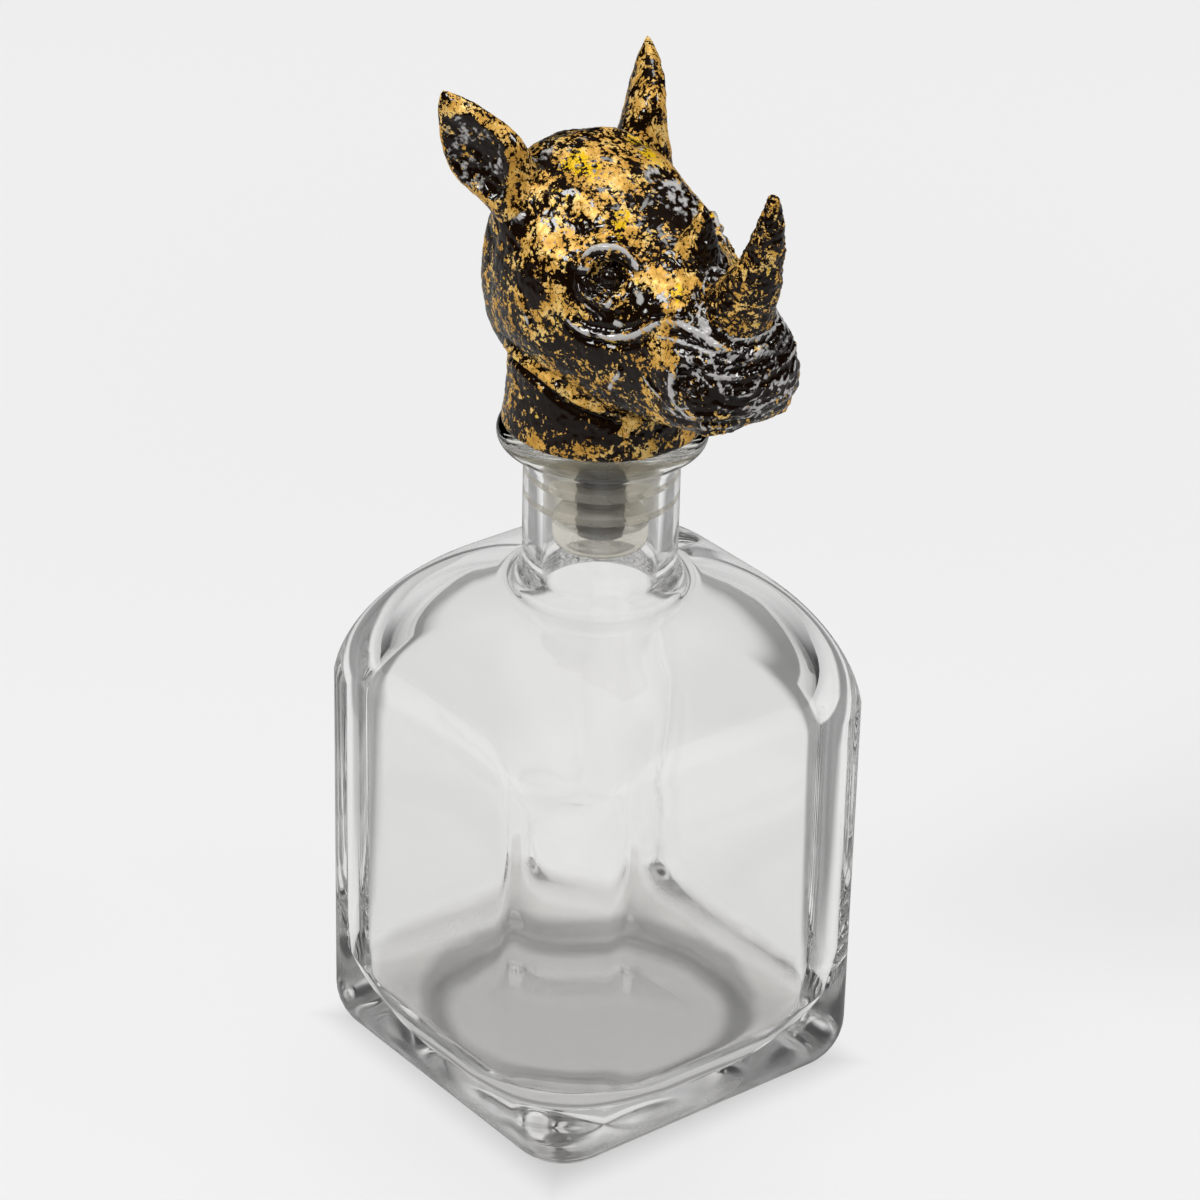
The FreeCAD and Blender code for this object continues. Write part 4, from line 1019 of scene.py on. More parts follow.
class View:
    """The photograph's camera, in millimetres."""

    def __init__(self, stage):
        back, right, up, target = camera_axes(stage)
        self.back, self.right, self.up = (np.array(axis) for axis in (back, right, up))
        self.eye = (np.array(target) + self.back * stage.distance) / MM
        self.focus = stage.lens / SENSOR_WIDTH * PHOTO_SIDE
        self.reach = stage.distance / MM

    def rays(self, pixels):
        offset = (np.asarray(pixels, float) - PHOTO_SIDE / 2) / self.focus
        ways = offset[:, :1] * self.right - offset[:, 1:] * self.up - self.back
        return ways / np.linalg.norm(ways, axis=1, keepdims=True)

    def meet(self, field, pixels, steps=90):
        """Where the rays through some pixels come closest to a surface or meet it."""
        ways = self.rays(pixels)
        far = np.full(len(ways), self.reach * RAY_START)
        best, best_far = np.full(len(ways), np.inf), far.copy()
        for _ in range(steps):
            value = field(self.eye + ways * far[:, None])
            closer = np.abs(value) < best
            best[closer], best_far[closer] = np.abs(value)[closer], far[closer]
            far = far + value * RAY_STRIDE
        spots = self.eye + ways * best_far[:, None]
        return spots - slope(field, spots) * field(spots)[:, None]


def smooth_line(points, steps=5):
    """Points along a Catmull-Rom curve."""
    points = np.asarray(points, float)
    padded = np.vstack((2 * points[0] - points[1], points, 2 * points[-1] - points[-2]))
    line = []
    for p0, p1, p2, p3 in zip(padded, padded[1:], padded[2:], padded[3:]):
        for share in np.arange(steps) / steps:
            line.append(0.5 * (2 * p1 + (p2 - p0) * share + (2 * p0 - 5 * p1 + 4 * p2 - p3) * share ** 2
                               + (3 * p1 - p0 - 3 * p2 + p3) * share ** 3))
    return np.vstack((line, points[-1]))


def distance_to_line(points, line):
    """Distance of points from a line of short pieces, and the share of the line where they lie."""
    a, b = line[:-1], line[1:]
    along = b - a
    share = ((points[:, None] - a) * along).sum(-1) / np.maximum((along ** 2).sum(-1), TINY)
    share = np.clip(share, 0, 1)
    gaps = np.linalg.norm(points[:, None] - a - share[..., None] * along, axis=-1)
    nearest = gaps.argmin(1)
    row = np.arange(len(points))
    return gaps[row, nearest], (nearest + share[row, nearest]) / len(a)


def lumps(points, size, octaves=3):
    """Fractal noise at places in millimetres, about -1 to 1."""
    return np.array([noise.fractal(Vector(p), *LUMP_OCTAVES, octaves) for p in points / size])


def cells(points, size):
    """0 on the borders of scattered cells and up to about 1 in their middles."""
    found = [noise.voronoi(Vector(p))[0] for p in points / size]
    return np.array([gaps[1] - gaps[0] for gaps in found])


def refine(values, axis, finer):
    """Linear steps between the samples of a grid along one axis."""
    low = np.moveaxis(values, axis, 0)
    parts = [low[:-1] * (1 - i / finer) + low[1:] * (i / finer) for i in range(finer)]
    fine = np.stack(parts, 1).reshape(-1, *low.shape[1:])
    return np.moveaxis(np.concatenate((fine, low[-1:])), 0, axis)


def mesh_field(field, low, high, step, finer=3):
    """Points on the surface of a field, their normals, and quads that look outward."""
    low, high = np.asarray(low, float), np.asarray(high, float)
    counts = np.ceil((high - low) / (step * finer)).astype(int) + 1
    axes = [low[i] + np.arange(counts[i]) * step * finer for i in range(3)]
    values = field(np.stack(np.meshgrid(*axes, indexing="ij"), -1))
    for axis in range(3):
        values = refine(values, axis, finer)
    grid = openvdb.FloatGrid()
    grid.background = float(values.max())
    grid.copyFromArray(np.ascontiguousarray(values, dtype=np.float32))
    points, quads = grid.convertToQuads(isovalue=0.0)
    points = low + points.astype(float) * step
    for _ in range(PULL_ROUNDS):
        points -= slope(field, points) * np.clip(field(points), -step, step)[:, None]
    return points, slope(field, points), quads


def relief_mesh(name, points, quads, layers, material):
    """Smooth mesh from millimetres, with named values on its points."""
    mesh = bpy.data.meshes.new(name)
    mesh.from_pydata((points * MM).tolist(), [], quads.tolist())
    mesh.polygons.foreach_set("use_smooth", np.ones(len(quads), dtype=bool))
    for title, values in layers.items():
        layer = mesh.attributes.new(title, "FLOAT", "POINT")
        layer.data.foreach_set("value", np.asarray(values, dtype=np.float32))
    mesh.materials.append(material)
    mesh.validate()
    return new_object(name, mesh)


def wrinkle_relief(points, view):
    """Height of the wrinkles at places on the near side, and the painted grey highlight on their crests."""
    height, rub = np.zeros(len(points)), np.zeros(len(points))
    side_place, side_width, side_depth = WRINKLE_SIDES
    for _, pixels, width, rise, crest_highlight in WRINKLES:
        line = view.meet(head_form, smooth_line(pixels))
        line = to_near_side(line[line[:, 1] < WRINKLE_PAST_MIDDLE])
        if len(line) < WRINKLE_FEWEST:
            continue
        reach = WRINKLE_REACH * width
        near = np.all((points > line.min(0) - reach) & (points < line.max(0) + reach), axis=1)
        gap, share = distance_to_line(points[near], line)
        ends = ramp(np.minimum(share, 1 - share), 0, WRINKLE_END) ** WRINKLE_END_POWER
        rough = lumps(points[near], WRINKLE_GRAIN)
        across = np.maximum(gap / width + WRINKLE_ROUGH * rough, 0)
        crest = np.exp(-across ** WRINKLE_FALL)
        sides = side_depth * np.exp(-((across - side_place) / side_width) ** 2) if rise > 0 else 0.0
        height[near] += rise * (crest - sides) * ends * (1 + WRINKLE_UNEVEN * rough)
        # Painted grey highlight along the crest, broken by lumps.
        broken = np.clip(WRINKLE_WHOLE + WRINKLE_VARIES * lumps(points[near], WRINKLE_BREAK), 0, 1)
        crest_lit = crest_highlight * np.exp(-(across / WRINKLE_HIGHLIGHT) ** 2) * ends * broken
        rub[near] = np.maximum(rub[near], crest_lit)
    return height, rub


def spot_sum(points, spots, view):
    """Sum of soft spots that the photograph places. Those on the near side are mirrored, far ones aren't."""
    near = to_near_side(points)
    total = np.zeros(len(points))
    places = view.meet(head_form, [pixel for _, pixel, _, _ in spots])
    for (_, _, reach, amount), middle in zip(spots, places):
        source = points if middle[1] > SPOT_PAST_MIDDLE else near
        total += amount * np.exp(-((source - middle) ** 2).sum(1) / reach ** 2)
    return total


def sculpt_head(sculpt, view, material):
    """Head with its wrinkles, folds and lumps, and with leaf, painted grey highlight and bright leaf as
    values on its points.
    """
    head = Head(view)
    points, normals, quads = mesh_field(head.field, *HEAD_BOX, sculpt.head_step / MM)
    near = to_near_side(points)
    x, z = near[:, 0], near[:, 2]
    height, rub = wrinkle_relief(near, view)
    height *= sculpt.wrinkle
    (broad_size, broad_share), (fine_size, fine_share) = SKIN_BROAD, SKIN_FINE
    broad, fine = lumps(points, broad_size), lumps(points, fine_size)
    muzzle = ramp(x, *MUZZLE_START) * ramp(z, *MUZZLE_RISE)
    folds = ramp(np.abs(lumps(points / MUZZLE_STRETCH, FOLD_SIZE, FOLD_OCTAVES)), FOLD_WIDTH, 0)
    height += muzzle * FOLD_HEIGHT * (folds - FOLD_MIDDLE)
    height *= 1 - FAR_LOSS * muzzle * ramp(points[:, 1], *FAR_SIDE)
    above_foot = ramp(z, *RELIEF_START)
    height += sculpt.skin / MM * (broad_share * broad + fine_share * fine) * above_foot
    cracks = ramp(cells(points, CRACK_SIZE), CRACK_WIDTH, 0)
    height -= CRACK_DEPTH * cracks * above_foot

    # Painted grey highlights on the muzzle's folds and at the sheen spots.
    fold_highlight = FOLD_HIGHLIGHT * muzzle * np.clip(folds - FOLD_HIGHLIGHT_START, 0, 1)
    rub = np.maximum(rub, fold_highlight * np.clip(1 + broad, 0, FOLD_HIGHLIGHT_MOST))
    sheen = np.clip(spot_sum(points, SHEEN_SPOTS, view), 0, SHEEN_MOST)
    rub = np.maximum(rub, sheen * np.clip(SHEEN_EVEN + SHEEN_VARIES * fine, 0, SHEEN_GAIN))
    gild = GILD_SPOTS * spot_sum(points, LEAF_SPOTS, view) + GILD_RELIEF * height
    gild -= GILD_CRACK_LOSS * cracks + GILD_PLAIN_LOSS
    gild -= GILD_HIGHLIGHT_LOSS * np.clip(rub - GILD_HIGHLIGHT_START, 0, 1)
    for start, full, amount in NECK_LEAF:
        gild += amount * ramp(z, start, full)

    eye_gap = np.linalg.norm(near - head.eye + head.eye_way * EYE_SINK, axis=1)
    on_eye = ramp(eye_gap - EYE_RADIUS, *EYE_EDGE)
    pupil = ramp(np.linalg.norm(near - head.pupil, axis=1), PUPIL_RADIUS, PUPIL_RADIUS - PUPIL_EDGE)
    # Painted grey highlight on the eyeball; the pupil keeps none.
    rub = np.maximum(rub, EYE_HIGHLIGHT * on_eye) * (1 - pupil)
    gild -= EYE_LOSS * on_eye
    layers = {"gild": gild, "rub": rub, "bright": spot_sum(points, BRIGHT_SPOTS, view)}
    points = points + normals * (height * (1 - on_eye))[:, None]
    obj = relief_mesh("head_sculpt", points, quads, layers, material)
    place(obj, STOPPER_BODY, ("head_casting",))


def ear_axes():
    """Root of the right ear and the ways out of its cup, across it and to its tip."""
    along = np.array((-math.tan(EAR_SWEEP), -math.tan(EAR_SPLAY), 1.0))
    along /= np.linalg.norm(along)
    facing = np.asarray(EAR_FACING, float)
    facing -= along * (facing @ along)
    facing /= np.linalg.norm(facing)
    return np.asarray(EAR_ROOT, float), np.stack((facing, np.cross(along, facing), along))


def leaf_field(local, leaf, width, depth):
    """Rough distance to a leaf whose section is an oval."""
    shares, *columns = zip(*leaf)
    share = local[..., 2] / EAR_LENGTH
    wide, deep, forward = (ease(share, shares, column) for column in columns)
    half_width = np.maximum(wide, EAR_THINNEST) * width / 2
    half_depth = np.maximum(deep, EAR_THINNEST) * depth / 2
    out = np.sqrt(((local[..., 0] - forward) / half_depth) ** 2 + (local[..., 1] / half_width) ** 2)
    ends = np.maximum(share - shares[-1], shares[0] - share) * EAR_LENGTH
    return np.maximum((out - 1) * half_depth, ends)


def sculpt_ears(sculpt, material):
    """Both ears: the right one, and its mirror image on the left."""
    root, axes = ear_axes()

    def leaf_and_hollow(points):
        local = (points - root) @ axes.T
        leaf = leaf_field(local, EAR_LEAF, EAR_WIDTH, EAR_DEPTH)
        return leaf, leaf_field(local, EAR_HOLLOW, EAR_WIDTH - 2 * EAR_WALL, EAR_DEPTH - EAR_WALL)

    def field(points):
        return carve(*leaf_and_hollow(points), EAR_EDGE)

    below, above = EAR_REACH
    points, normals, quads = mesh_field(field, root - below, root + above, sculpt.ear_step / MM)
    _, hollow = leaf_and_hollow(points)
    inside = ramp(hollow, *EAR_INSIDE)
    size, rise, cup_rise = EAR_LUMPS
    turns, fold_rise, wander, wander_size = EAR_FOLDS
    fine = lumps(points, size)
    folds = np.sin(hollow * turns + wander * lumps(points, wander_size))
    height = rise * fine + inside * (fold_rise * folds + cup_rise * fine)
    lip, lip_width, lip_gild = EAR_LIP
    gild = EAR_GILD - EAR_GILD_LOSS * inside + lip_gild * np.exp(-((hollow - lip) / lip_width) ** 2)
    # Painted grey highlight in the cup, by folds and lumps.
    even, by_folds, by_lumps, lump_size, highlight_most = EAR_HIGHLIGHT
    rub = inside * np.clip(even + by_folds * folds + by_lumps * lumps(points, lump_size), 0, highlight_most)
    layers = {"gild": gild, "rub": rub, "bright": np.zeros(len(points))}
    points = points + normals * height[:, None]
    right = relief_mesh("right_ear_sculpt", points, quads, layers, material)
    place(right, STOPPER_BODY, ("right_ear",))
    left = relief_mesh("left_ear_sculpt", points * (1, -1, 1), quads[:, ::-1], layers, material)
    place(left, STOPPER_BODY, ("left_ear",))


def horn_axis(root, lean, curl, reach, shares):
    """Points on a curved horn axis in the middle plane."""
    points = []
    for share in shares:
        bend = curl * share / 2
        chord = reach * share * (math.sin(bend) / bend if abs(bend) > TINY else 1.0)
        points.append((root[0] + math.sin(lean - bend) * chord, 0.0, root[1] + math.cos(lean - bend) * chord))
    return np.array(points)


def sculpt_horn(name, taper, root, reach, thick, lean, curl, step, material, leaf, wear_and_highlight):
    """Pitted horn on a curved axis, with a painted grey highlight on its lumps. With a share of wear it is
    bare low down and on one side, and gets a painted highlight low down.
    """
    shares = np.linspace(taper[0][0], taper[-1][0], HORN_POINTS)
    line = horn_axis(root, lean, curl, reach, shares)
    taper_shares, thickness = zip(*taper)

    def field(points):
        flat = points.reshape(-1, 3)
        gap, along = distance_to_line(flat, line)
        share = shares[0] + along * (shares[-1] - shares[0])
        return (gap - np.interp(share, taper_shares, thickness) * thick / 2).reshape(points.shape[:-1])

    margin = thick * HORN_MARGIN
    points, normals, quads = mesh_field(field, line.min(0) - margin, line.max(0) + margin, step)
    pit_size, pit_width, pit_depth, pit_loss = HORN_PITS
    pits = ramp(cells(points, pit_size), pit_width, 0)
    (broad_size, broad_rise), (fine_size, fine_rise) = HORN_BROAD, HORN_FINE
    broad, fine = lumps(points, broad_size), lumps(points, fine_size)
    height = broad_rise * broad + fine_rise * fine - pit_depth * pits
    points = points + normals * height[:, None]
    low = ramp(distance_to_line(points, line)[1], HORN_BASE_SHARE, 0)
    front = np.clip(normals @ HORN_BARE_WAY, 0, 1)
    # Painted grey highlight on broad lumps, and low down on a worn horn.
    rub = np.maximum(HORN_HIGHLIGHT * np.clip(broad, 0, 1), wear_and_highlight * low * (1 + broad))
    gild = leaf + HORN_RELIEF_GILD * height - pit_loss * pits
    gild -= wear_and_highlight * (HORN_BASE_LOSS * low + HORN_BARE_LOSS * front)
    layers = {"gild": gild, "rub": rub, "bright": np.zeros(len(points))}
    obj = relief_mesh(f"{name}_sculpt", points, quads, layers, material)
    place(obj, STOPPER_BODY, (name,))


# Materials


def leaf_group():
    """Leaf, rubbed away in places, on a dark ground, with a painted grey highlight on the bare resin and
    painted pale highlights in the leaf. Gives the colour, how much of a place is leaf, the gloss and a
    height.
    """
    inputs = [("Place", "NodeSocketVector", None)]
    inputs += [(title, "NodeSocketFloat", None) for title in ("Patch Scale", "Speckle Scale")]
    inputs += [(title.capitalize(), "NodeSocketFloat", None) for title in LEAF_LAYERS]
    inputs += [(f"{title.capitalize()} Colour", "NodeSocketColor", None) for title in LEAF_COLOURS]
    outputs = (("Colour", "NodeSocketColor"), ("Leaf", "NodeSocketFloat"), ("Roughness", "NodeSocketFloat"),
               ("Height", "NodeSocketFloat"))
    tree, start, end = new_group("Rubbed leaf", "ShaderNodeTree", inputs, outputs)
    get = start.outputs

    def grain(scale, detail, rough):
        return minus(cloud(get["Place"], scale, detail, rough), 0.5)

    patch = grain(get["Patch Scale"], *PATCH_GRAIN)
    speckle = grain(get["Speckle Scale"], *SPECKLE_GRAIN)
    tone = grain(*TONE_GRAIN)
    worm = step_between(calc("ABSOLUTE", grain(*WORM_GRAIN)), WORM_WIDTH, 0.0)
    total = plus(get["Gild"], times(patch, PATCH_GAIN))
    total = plus(total, times(speckle, SPECKLE_GAIN))
    total = minus(total, times(worm, WORM_LOSS))
    leaf = step_between(total, -LEAF_EDGE, LEAF_EDGE)

    deep = blend_colours(1.0, get["Leaf Colour"], DEEP_SHADE, "MULTIPLY")
    gold = blend_colours(step_between(tone, *PLAIN_STEPS), deep, get["Leaf Colour"])
    # Painted pale highlights in the leaf, by tones and speckles.
    fleck = plus(tone, times(speckle, PALE_SPECKLE))
    gold = blend_colours(step_between(fleck, *PALE_STEPS), gold, get["Pale Colour"])
    glow = plus(get["Bright"], times(plus(tone, speckle), BRIGHT_SPECKLE))
    gold = blend_colours(step_between(glow, *BRIGHT_STEPS), gold, get["Bright Colour"])
    # Painted grey highlight: where the stored value is high, the bare resin turns grey.
    streak = plus(get["Rub"], times(speckle, GREY_SPECKLE))
    resin = blend_colours(step_between(streak, *GREY_STEPS), get["Ground Colour"], get["Rub Colour"])
    bare = plus(RESIN_ROUGHNESS, times(tone, RESIN_VARIES))
    plug(end, {
        "Colour": blend_colours(leaf, resin, gold), "Leaf": leaf,
        "Roughness": between(leaf, bare, LEAF_ROUGHNESS), "Height": plus(leaf, speckle)})
    return tree


def new_material(name):
    """Material with an empty tree. Gives it, its tree and its principled shader."""
    material = bpy.data.materials.new(name)
    material.use_nodes = True
    tree = material.node_tree
    tree.nodes.clear()
    shader = tree.nodes.new("ShaderNodeBsdfPrincipled")
    output = tree.nodes.new("ShaderNodeOutputMaterial")
    tree.links.new(shader.outputs[0], output.inputs["Surface"])
    return material, tree, shader


def object_place(tree):
    return tree.nodes.new("ShaderNodeTexCoord").outputs["Object"]


def gilded_material(name, colours):
    """Black resin with rubbed gold leaf, a painted grey highlight on the bare resin and painted pale
    highlights in the leaf.
    """
    material, tree, shader = new_material(name)
    patch, speckle = LEAF_SCALES[name]
    group = bpy.data.node_groups.get("Rubbed leaf") or leaf_group()
    wear_and_highlight = add_node(tree, "ShaderNodeGroup", node_tree=group)
    plug(wear_and_highlight, {"Place": object_place(tree), "Patch Scale": patch, "Speckle Scale": speckle})
    for title in LEAF_LAYERS:
        stored = add_node(tree, "ShaderNodeAttribute", attribute_name=title)
        plug(wear_and_highlight, {title.capitalize(): stored.outputs["Fac"]})
    plug(wear_and_highlight, {f"{title.capitalize()} Colour": getattr(colours, title) for title in LEAF_COLOURS})
    leaf = wear_and_highlight.outputs["Leaf"]
    bump = add_node(tree, "ShaderNodeBump", {
        "Height": wear_and_highlight.outputs["Height"], "Strength": BUMP_STRENGTH, "Distance": BUMP_HEIGHT})
    plug(shader, {
        "Base Color": wear_and_highlight.outputs["Colour"], "Roughness": wear_and_highlight.outputs["Roughness"],
        "Metallic": times(leaf, LEAF_METALLIC), "Specular IOR Level": RESIN_SPECULAR,
        "Coat Weight": times(minus(1.0, leaf), RESIN_COAT), "Coat Roughness": RESIN_COAT_ROUGHNESS,
        "Normal": bump.outputs[0]})
    return material


def glass_material(colours):
    """Clear glass that lets lamps' light through to what it holds, with a tinted rim, and painted shade and a
    painted dark ring in its floor.
    """
    material, tree, shader = new_material("clear_glass")
    spot = object_place(tree)
    haze = cloud(spot, *GLASS_CLOUD)
    x, y, height = add_node(tree, "ShaderNodeSeparateXYZ", {0: spot}).outputs
    wander = times(haze, GLASS_WANDER)
    reach = plus(calc("SQRT", plus(times(x, x), times(y, y))), wander)
    rise = plus(height, wander)
    # Painted shade in the floor, and a painted dark ring round its hollow.
    low = minus(1.0, step_between(rise, *FOOT_HEIGHTS))
    inside = minus(1.0, step_between(farther(x, y), *FOOT_REACH))
    ring = minus(step_between(reach, *RING_INSIDE), step_between(reach, *RING_OUTSIDE))
    ring = times(ring, minus(1.0, step_between(rise, *RING_HEIGHTS)))
    foot = blend_colours(ring, colours.glass_foot_shade, colours.glass_ring_shade)
    tint = blend_colours(times(low, inside), colours.glass, foot)
    tint = blend_colours(step_between(height, *RIM_HEIGHTS), tint, colours.glass_rim)
    blur = times(minus(1.0, step_between(height, *BLUR_HEIGHTS)), minus(1.0, inside))
    blur = plus(times(blur, FOOT_BLUR), GLASS_ROUGHNESS)
    plug(shader, {
        "Base Color": tint, "Roughness": times(haze, blur), "IOR": GLASS_IOR, "Transmission Weight": 1.0})
    clear = add_node(tree, "ShaderNodeBsdfTransparent", {"Color": grey(GLASS_SHADOW)})
    total = blend_shaders(ray(tree, "Shadow"), shader, clear)
    plug(tree.nodes["Material Output"], {"Surface": total.outputs[0]})
    return material


def silicone_material(colours):
    """Translucent cream rubber."""
    material, tree, shader = new_material("seal_silicone")
    haze = cloud(object_place(tree), *SILICONE_CLOUD)
    tint = blend_colours(haze, colours.silicone, shaded(colours.silicone, SILICONE_SHADE))
    plug(shader, {
        "Base Color": tint, "Roughness": SILICONE_ROUGHNESS, "IOR": SILICONE_IOR,
        "Transmission Weight": SILICONE_CLEAR})
    return material


def turned_material(name, tint, rough):
    """Metal with fine rings from the lathe."""
    material, tree, shader = new_material(name)
    stretch = add_node(tree, "ShaderNodeMapping", {"Vector": object_place(tree), "Scale": LATHE_SCALE})
    rings = cloud(stretch.outputs[0], 1.0, LATHE_DETAIL)
    plug(shader, {
        "Base Color": blend_colours(rings, shaded(tint, LATHE_SHADE), tint), "Metallic": 1.0,
        "Roughness": plus(times(rings, LATHE_VARIES), rough)})
    return material


# Stage


def way_to(turn, rise):
    """Way from the object to something on its side at a turn, and up at a rise."""
    return Vector((math.sin(turn) * math.cos(rise), -math.cos(turn) * math.cos(rise), math.sin(rise)))


def camera_axes(stage):
    """Ways back, right and up from the camera, and the place that it looks at."""
    turn, roll = stage.azimuth, stage.roll
    back = way_to(turn, stage.elevation)
    flat = Vector((math.cos(turn), math.sin(turn), 0.0))
    level_up = back.cross(flat)
    right = flat * math.cos(roll) + level_up * math.sin(roll)
    up = level_up * math.cos(roll) - flat * math.sin(roll)
    target = flat * stage.target_side + Vector((0.0, 0.0, stage.target_height))
    return back, right, up, target


def add_camera(scene, stage):
    back, right, up, target = camera_axes(stage)
    data = bpy.data.cameras.new("photo_camera")
    data.lens = stage.lens
    data.sensor_width = SENSOR_WIDTH
    data.clip_start = NEAREST_SEEN
    camera = new_object("photo_camera", data)
    turn = Matrix((right, up, back)).transposed().to_4x4()
    camera.matrix_world = Matrix.Translation(target + back * stage.distance) @ turn
    scene.camera = camera


def all_but(name):
    """Everything that the lamps light: all but one object, which shows the room alone."""
    receivers = bpy.data.collections.new("Lit by lamps")
    left_out = bpy.data.objects.get(name)
    if left_out:
        receivers.objects.link(left_out)
        receivers.collection_objects[0].light_linking.link_state = "EXCLUDE"
    return receivers


def add_lamp(name, stage, receivers, turn, rise, far, wide, power):
    """Soft round lamp that looks at the object. Its side is counted from the camera's."""
    data = bpy.data.lights.new(name, "AREA")
    data.shape = "DISK"
    data.size = wide
    data.energy = power
    lamp = new_object(name, data)
    way = way_to(stage.azimuth + math.radians(turn), math.radians(rise))
    aim = Vector((0.0, 0.0, stage.target_height))
    lamp.matrix_world = Matrix.Translation(aim + way * far) @ way.to_track_quat("Z", "Y").to_matrix().to_4x4()
    lamp.visible_camera = False
    lamp.visible_transmission = False
    lamp.light_linking.receiver_collection = receivers


def ray(tree, kind):
    """1 for rays of a kind."""
    return tree.nodes.new("ShaderNodeLightPath").outputs[f"Is {kind} Ray"]


def seen_ray(tree):
    """1 for rays that show the ground: from the camera, off gloss or through glass."""
    return most(most(ray(tree, "Camera"), ray(tree, "Glossy")), ray(tree, "Transmission"))


def gloss_ray(tree):
    """1 for rays that gloss throws back, and not for those that glass lets through."""
    return minus(ray(tree, "Glossy"), ray(tree, "Transmission"))


def add_floor(colours, stage):
    """Pale ground. Where the glass bends the view far aside, it meets a dark stretch of it."""
    mesh = bpy.data.meshes.new("floor")
    corners = ((-1, -1), (1, -1), (1, 1), (-1, 1))
    mesh.from_pydata([(x * FLOOR_HALF, y * FLOOR_HALF, 0) for x, y in corners], [], [(0, 1, 2, 3)])
    material, tree, shader = new_material("floor")
    plug(shader, {"Base Color": grey(FLOOR_SHADE), "Roughness": 1.0, "Specular IOR Level": 0.0})
    _, right, _, _ = camera_axes(stage)
    spot = tree.nodes.new("ShaderNodeNewGeometry").outputs["Position"]
    aside = calc("ABSOLUTE", dot(spot, right))
    dark = minus(step_between(aside, *DARK_START), step_between(aside, *DARK_END))
    direct = ray(tree, "Camera")
    dark = times(dark, minus(DARK_SHADE, direct))
    x, y, _ = add_node(tree, "ShaderNodeSeparateXYZ", {0: spot}).outputs
    under = minus(1.0, step_between(farther(x, y), *UNDER_REACH))
    dark = most(dark, times(under, UNDER_SHADE))
    level = between(gloss_ray(tree), minus(1.0, dark), GLOSS_FLOOR)
    reach = add_node(tree, "ShaderNodeVectorMath", {0: spot}, operation="LENGTH").outputs["Value"]
    for distances, share in FLOOR_LIFTS:
        level = plus(level, times(times(step_between(reach, *distances), share), direct))
    strength = times(level, FLOOR_GLOW)
    glow = add_node(tree, "ShaderNodeEmission", {"Color": colours.floor, "Strength": strength})
    seen = add_node(tree, "ShaderNodeAddShader", {0: shader.outputs[0], 1: glow.outputs[0]})
    plain = add_node(tree, "ShaderNodeBsdfDiffuse", {"Color": colours.floor})
    total = blend_shaders(seen_ray(tree), plain, seen)
    plug(tree.nodes["Material Output"], {"Surface": total.outputs[0]})
    mesh.materials.append(material)
    floor = new_object("floor", mesh)
    floor.location.z = -FLOOR_DROP


def add_world(scene, colours, stage):
    """Even light for surfaces. Glass sees a pale room with dark sides, and gloss a dim ceiling.

    The camera sees the far floor's colour, so that the floor has no edge in low views.
    """
    world = bpy.data.worlds.new("room")
    scene.world = world
    world.use_nodes = True
    tree = world.node_tree
    tree.nodes.clear()

    def background(tint, strength):
        return add_node(tree, "ShaderNodeBackground", {"Color": tint, "Strength": strength})

    way = tree.nodes.new("ShaderNodeTexCoord").outputs["Generated"]
    height = add_node(tree, "ShaderNodeSeparateXYZ", {0: way}).outputs[2]
    ramp_node = add_node(tree, "ShaderNodeValToRGB", {0: height})
    stops = ramp_node.color_ramp.elements
    stops.remove(stops[1])
    stops[0].color = grey(ROOM_STOPS[0][1])
    for spot, level in ROOM_STOPS[1:]:
        stops.new(spot).color = grey(level)
    _, right, _, _ = camera_axes(stage)
    dark = step_between(calc("ABSOLUTE", dot(way, right)), *ROOM_SIDES)
    level = minus(1.0, times(dark, ROOM_SIDE_SHADE))
    ceiling = times(step_between(height, *GLOSS_HEIGHTS), GLOSS_CEILING)
    room = background(ramp_node.outputs[0], between(gloss_ray(tree), level, ceiling))
    indirect = blend_shaders(seen_ray(tree), background(grey(1.0), stage.ambient), room)
    glow = FLOOR_GLOW * (1 + sum(share for _, share in FLOOR_LIFTS))
    far = [glow * level + FLOOR_SHADE * stage.ambient for level in colours.floor[:3]]
    total = blend_shaders(ray(tree, "Camera"), indirect, background((*far, 1.0), 1.0))
    add_node(tree, "ShaderNodeOutputWorld", {"Surface": total.outputs[0]})


# Operators


class DECANTER_OT_bottle(bpy.types.Operator):
    """Sweeps the glass bottle from its profile"""
    bl_idname = "decanter.bottle"
    bl_label = "Glass bottle"

    def execute(self, context):
        sizes = context.scene.decanter_bottle
        bottle = profile_object("bottle_glass", bottle_rows(sizes))
        tree = bpy.data.node_groups.get("Swept profile") or sweep_tree()
        set_modifier(bottle, tree, {
            "Segments": sizes.segments, "Wave Height": sizes.wave, "Wave Scale": sizes.wave_scale,
            "Material": glass_material(context.scene.decanter_colours)})
        place(bottle, BOTTLE_BODY, ("glass_bottle",))
        return {"FINISHED"}


class DECANTER_OT_seals(bpy.types.Operator):
    """Makes the seal rings and the rounded end of the stopper"""
    bl_idname = "decanter.seals"
    bl_label = "Seals"

    def execute(self, context):
        sizes = context.scene.decanter_seals
        material = silicone_material(context.scene.decanter_colours)
        rings = new_object("seal_rings", bpy.data.meshes.new("seal_rings"))
        values = {title: getattr(sizes, title.lower()) for title in RING_LENGTHS + RING_COUNTS}
        set_modifier(rings, ring_tree(), {**values, "Material": material})
        place(rings, SEAL_BODY, ("upper_seal_ring", "middle_seal_ring", "lower_seal_ring"))
        end = profile_object("seal_end", plug_rows(sizes))
        tree = bpy.data.node_groups.get("Swept profile") or sweep_tree()
        set_modifier(end, tree, {"Segments": sizes.segments, "Material": material})
        place(end, SEAL_BODY, ("seal_end_plug",))
        return {"FINISHED"}


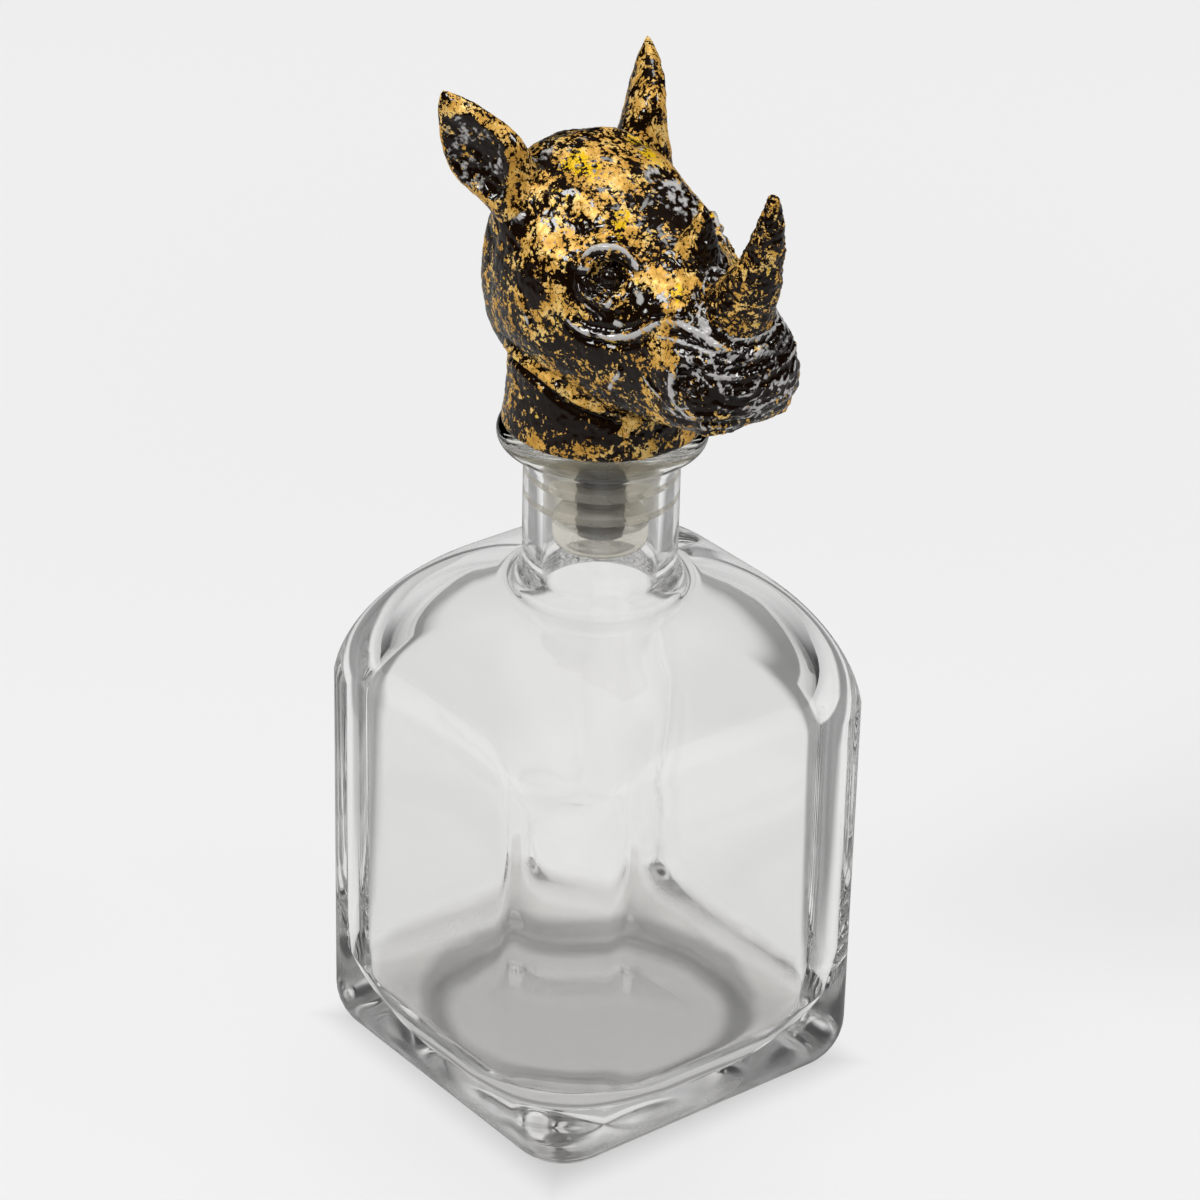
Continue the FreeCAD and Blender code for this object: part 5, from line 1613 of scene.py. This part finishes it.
class DECANTER_OT_core(bpy.types.Operator):
    """Dresses the metal core and the brass insert of the stopper"""
    bl_idname = "decanter.core"
    bl_label = "Stopper core"

    def execute(self, context):
        colours = context.scene.decanter_colours
        stem = turned_material("stem_metal", colours.stem, STEM_ROUGHNESS)
        brass = turned_material("insert_brass", colours.brass, BRASS_ROUGHNESS)
        for name, material in (("stopper_stem", stem), ("threaded_insert", brass)):
            mesh = bpy.data.objects[name].data
            mesh.materials.clear()
            mesh.materials.append(material)
        return {"FINISHED"}


class DECANTER_OT_head(bpy.types.Operator):
    """Sculpts the head with its wrinkles, eyes and nostrils"""
    bl_idname = "decanter.head"
    bl_label = "Head"

    def execute(self, context):
        scene = context.scene
        material = gilded_material("gilded_head", scene.decanter_colours)
        sculpt_head(scene.decanter_sculpt, View(scene.decanter_stage), material)
        return {"FINISHED"}


class DECANTER_OT_ears(bpy.types.Operator):
    """Sculpts both ears"""
    bl_idname = "decanter.ears"
    bl_label = "Ears"

    def execute(self, context):
        scene = context.scene
        material = gilded_material("gilded_ears", scene.decanter_colours)
        sculpt_ears(scene.decanter_sculpt, material)
        return {"FINISHED"}


class DECANTER_OT_horns(bpy.types.Operator):
    """Sculpts both horns"""
    bl_idname = "decanter.horns"
    bl_label = "Horns"

    def execute(self, context):
        scene = context.scene
        sculpt = scene.decanter_sculpt
        material = gilded_material("gilded_horns", scene.decanter_colours)
        for name, part, taper, leaf, wear_and_highlight in HORNS:
            root, height, reach, thick = (
                getattr(sculpt, f"{part}_{word}") / MM for word in ("root", "height", "length", "thick"))
            lean, curl = getattr(sculpt, f"{part}_lean"), getattr(sculpt, f"{part}_curl")
            step = sculpt.horn_step / MM
            sculpt_horn(name, taper, (root, height), reach, thick, lean, curl, step, material, leaf, wear_and_highlight)
        return {"FINISHED"}


class DECANTER_OT_stage(bpy.types.Operator):
    """Sets up the ground, the light and the photograph's camera"""
    bl_idname = "decanter.stage"
    bl_label = "Stage"

    def execute(self, context):
        scene = context.scene
        stage = scene.decanter_stage
        scene.view_settings.view_transform = "Standard"
        # Light is held in the thick glass for many turns before it leaves.
        scene.cycles.max_bounces = GLASS_BOUNCES
        scene.cycles.glossy_bounces = GLASS_BOUNCES
        scene.cycles.transmission_bounces = GLASS_BOUNCES
        add_floor(scene.decanter_colours, stage)
        add_world(scene, scene.decanter_colours, stage)
        receivers = all_but("bottle_glass")
        for name, turn, rise, far, wide in LAMPS:
            add_lamp(name, stage, receivers, turn, rise, far, wide, getattr(stage, name))
        add_camera(scene, stage)
        return {"FINISHED"}


class DECANTER_PT_panel(bpy.types.Panel):
    bl_label = "Decanter"
    bl_idname = "DECANTER_PT_panel"
    bl_space_type = "VIEW_3D"
    bl_region_type = "UI"
    bl_category = "Decanter"

    def draw(self, context):
        for operator in OPERATORS:
            self.layout.operator(operator.bl_idname)
        for title in SETTINGS:
            group = getattr(context.scene, title)
            box = self.layout.box()
            for name in group.__annotations__:
                box.prop(group, name)


OPERATORS = (
    DECANTER_OT_bottle, DECANTER_OT_seals, DECANTER_OT_core, DECANTER_OT_head, DECANTER_OT_ears,
    DECANTER_OT_horns, DECANTER_OT_stage,
)
SETTINGS = {
    "decanter_bottle": BottleSizes,
    "decanter_seals": SealSizes,
    "decanter_sculpt": SculptSettings,
    "decanter_colours": DecanterColours,
    "decanter_stage": StageSettings,
}


def register():
    for group in SETTINGS.values():
        bpy.utils.register_class(group)
    for title, group in SETTINGS.items():
        setattr(bpy.types.Scene, title, bpy.props.PointerProperty(type=group))
    for operator in OPERATORS:
        bpy.utils.register_class(operator)
    bpy.utils.register_class(DECANTER_PT_panel)


def unregister():
    bpy.utils.unregister_class(DECANTER_PT_panel)
    for operator in reversed(OPERATORS):
        bpy.utils.unregister_class(operator)
    for title, group in reversed(SETTINGS.items()):
        delattr(bpy.types.Scene, title)
        bpy.utils.unregister_class(group)


def main():
    register()
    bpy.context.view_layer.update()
    bpy.ops.decanter.bottle()
    bpy.ops.decanter.seals()
    bpy.ops.decanter.core()
    bpy.ops.decanter.head()
    bpy.ops.decanter.ears()
    bpy.ops.decanter.horns()
    bpy.ops.decanter.stage()


if __name__ == "__main__":
    main()
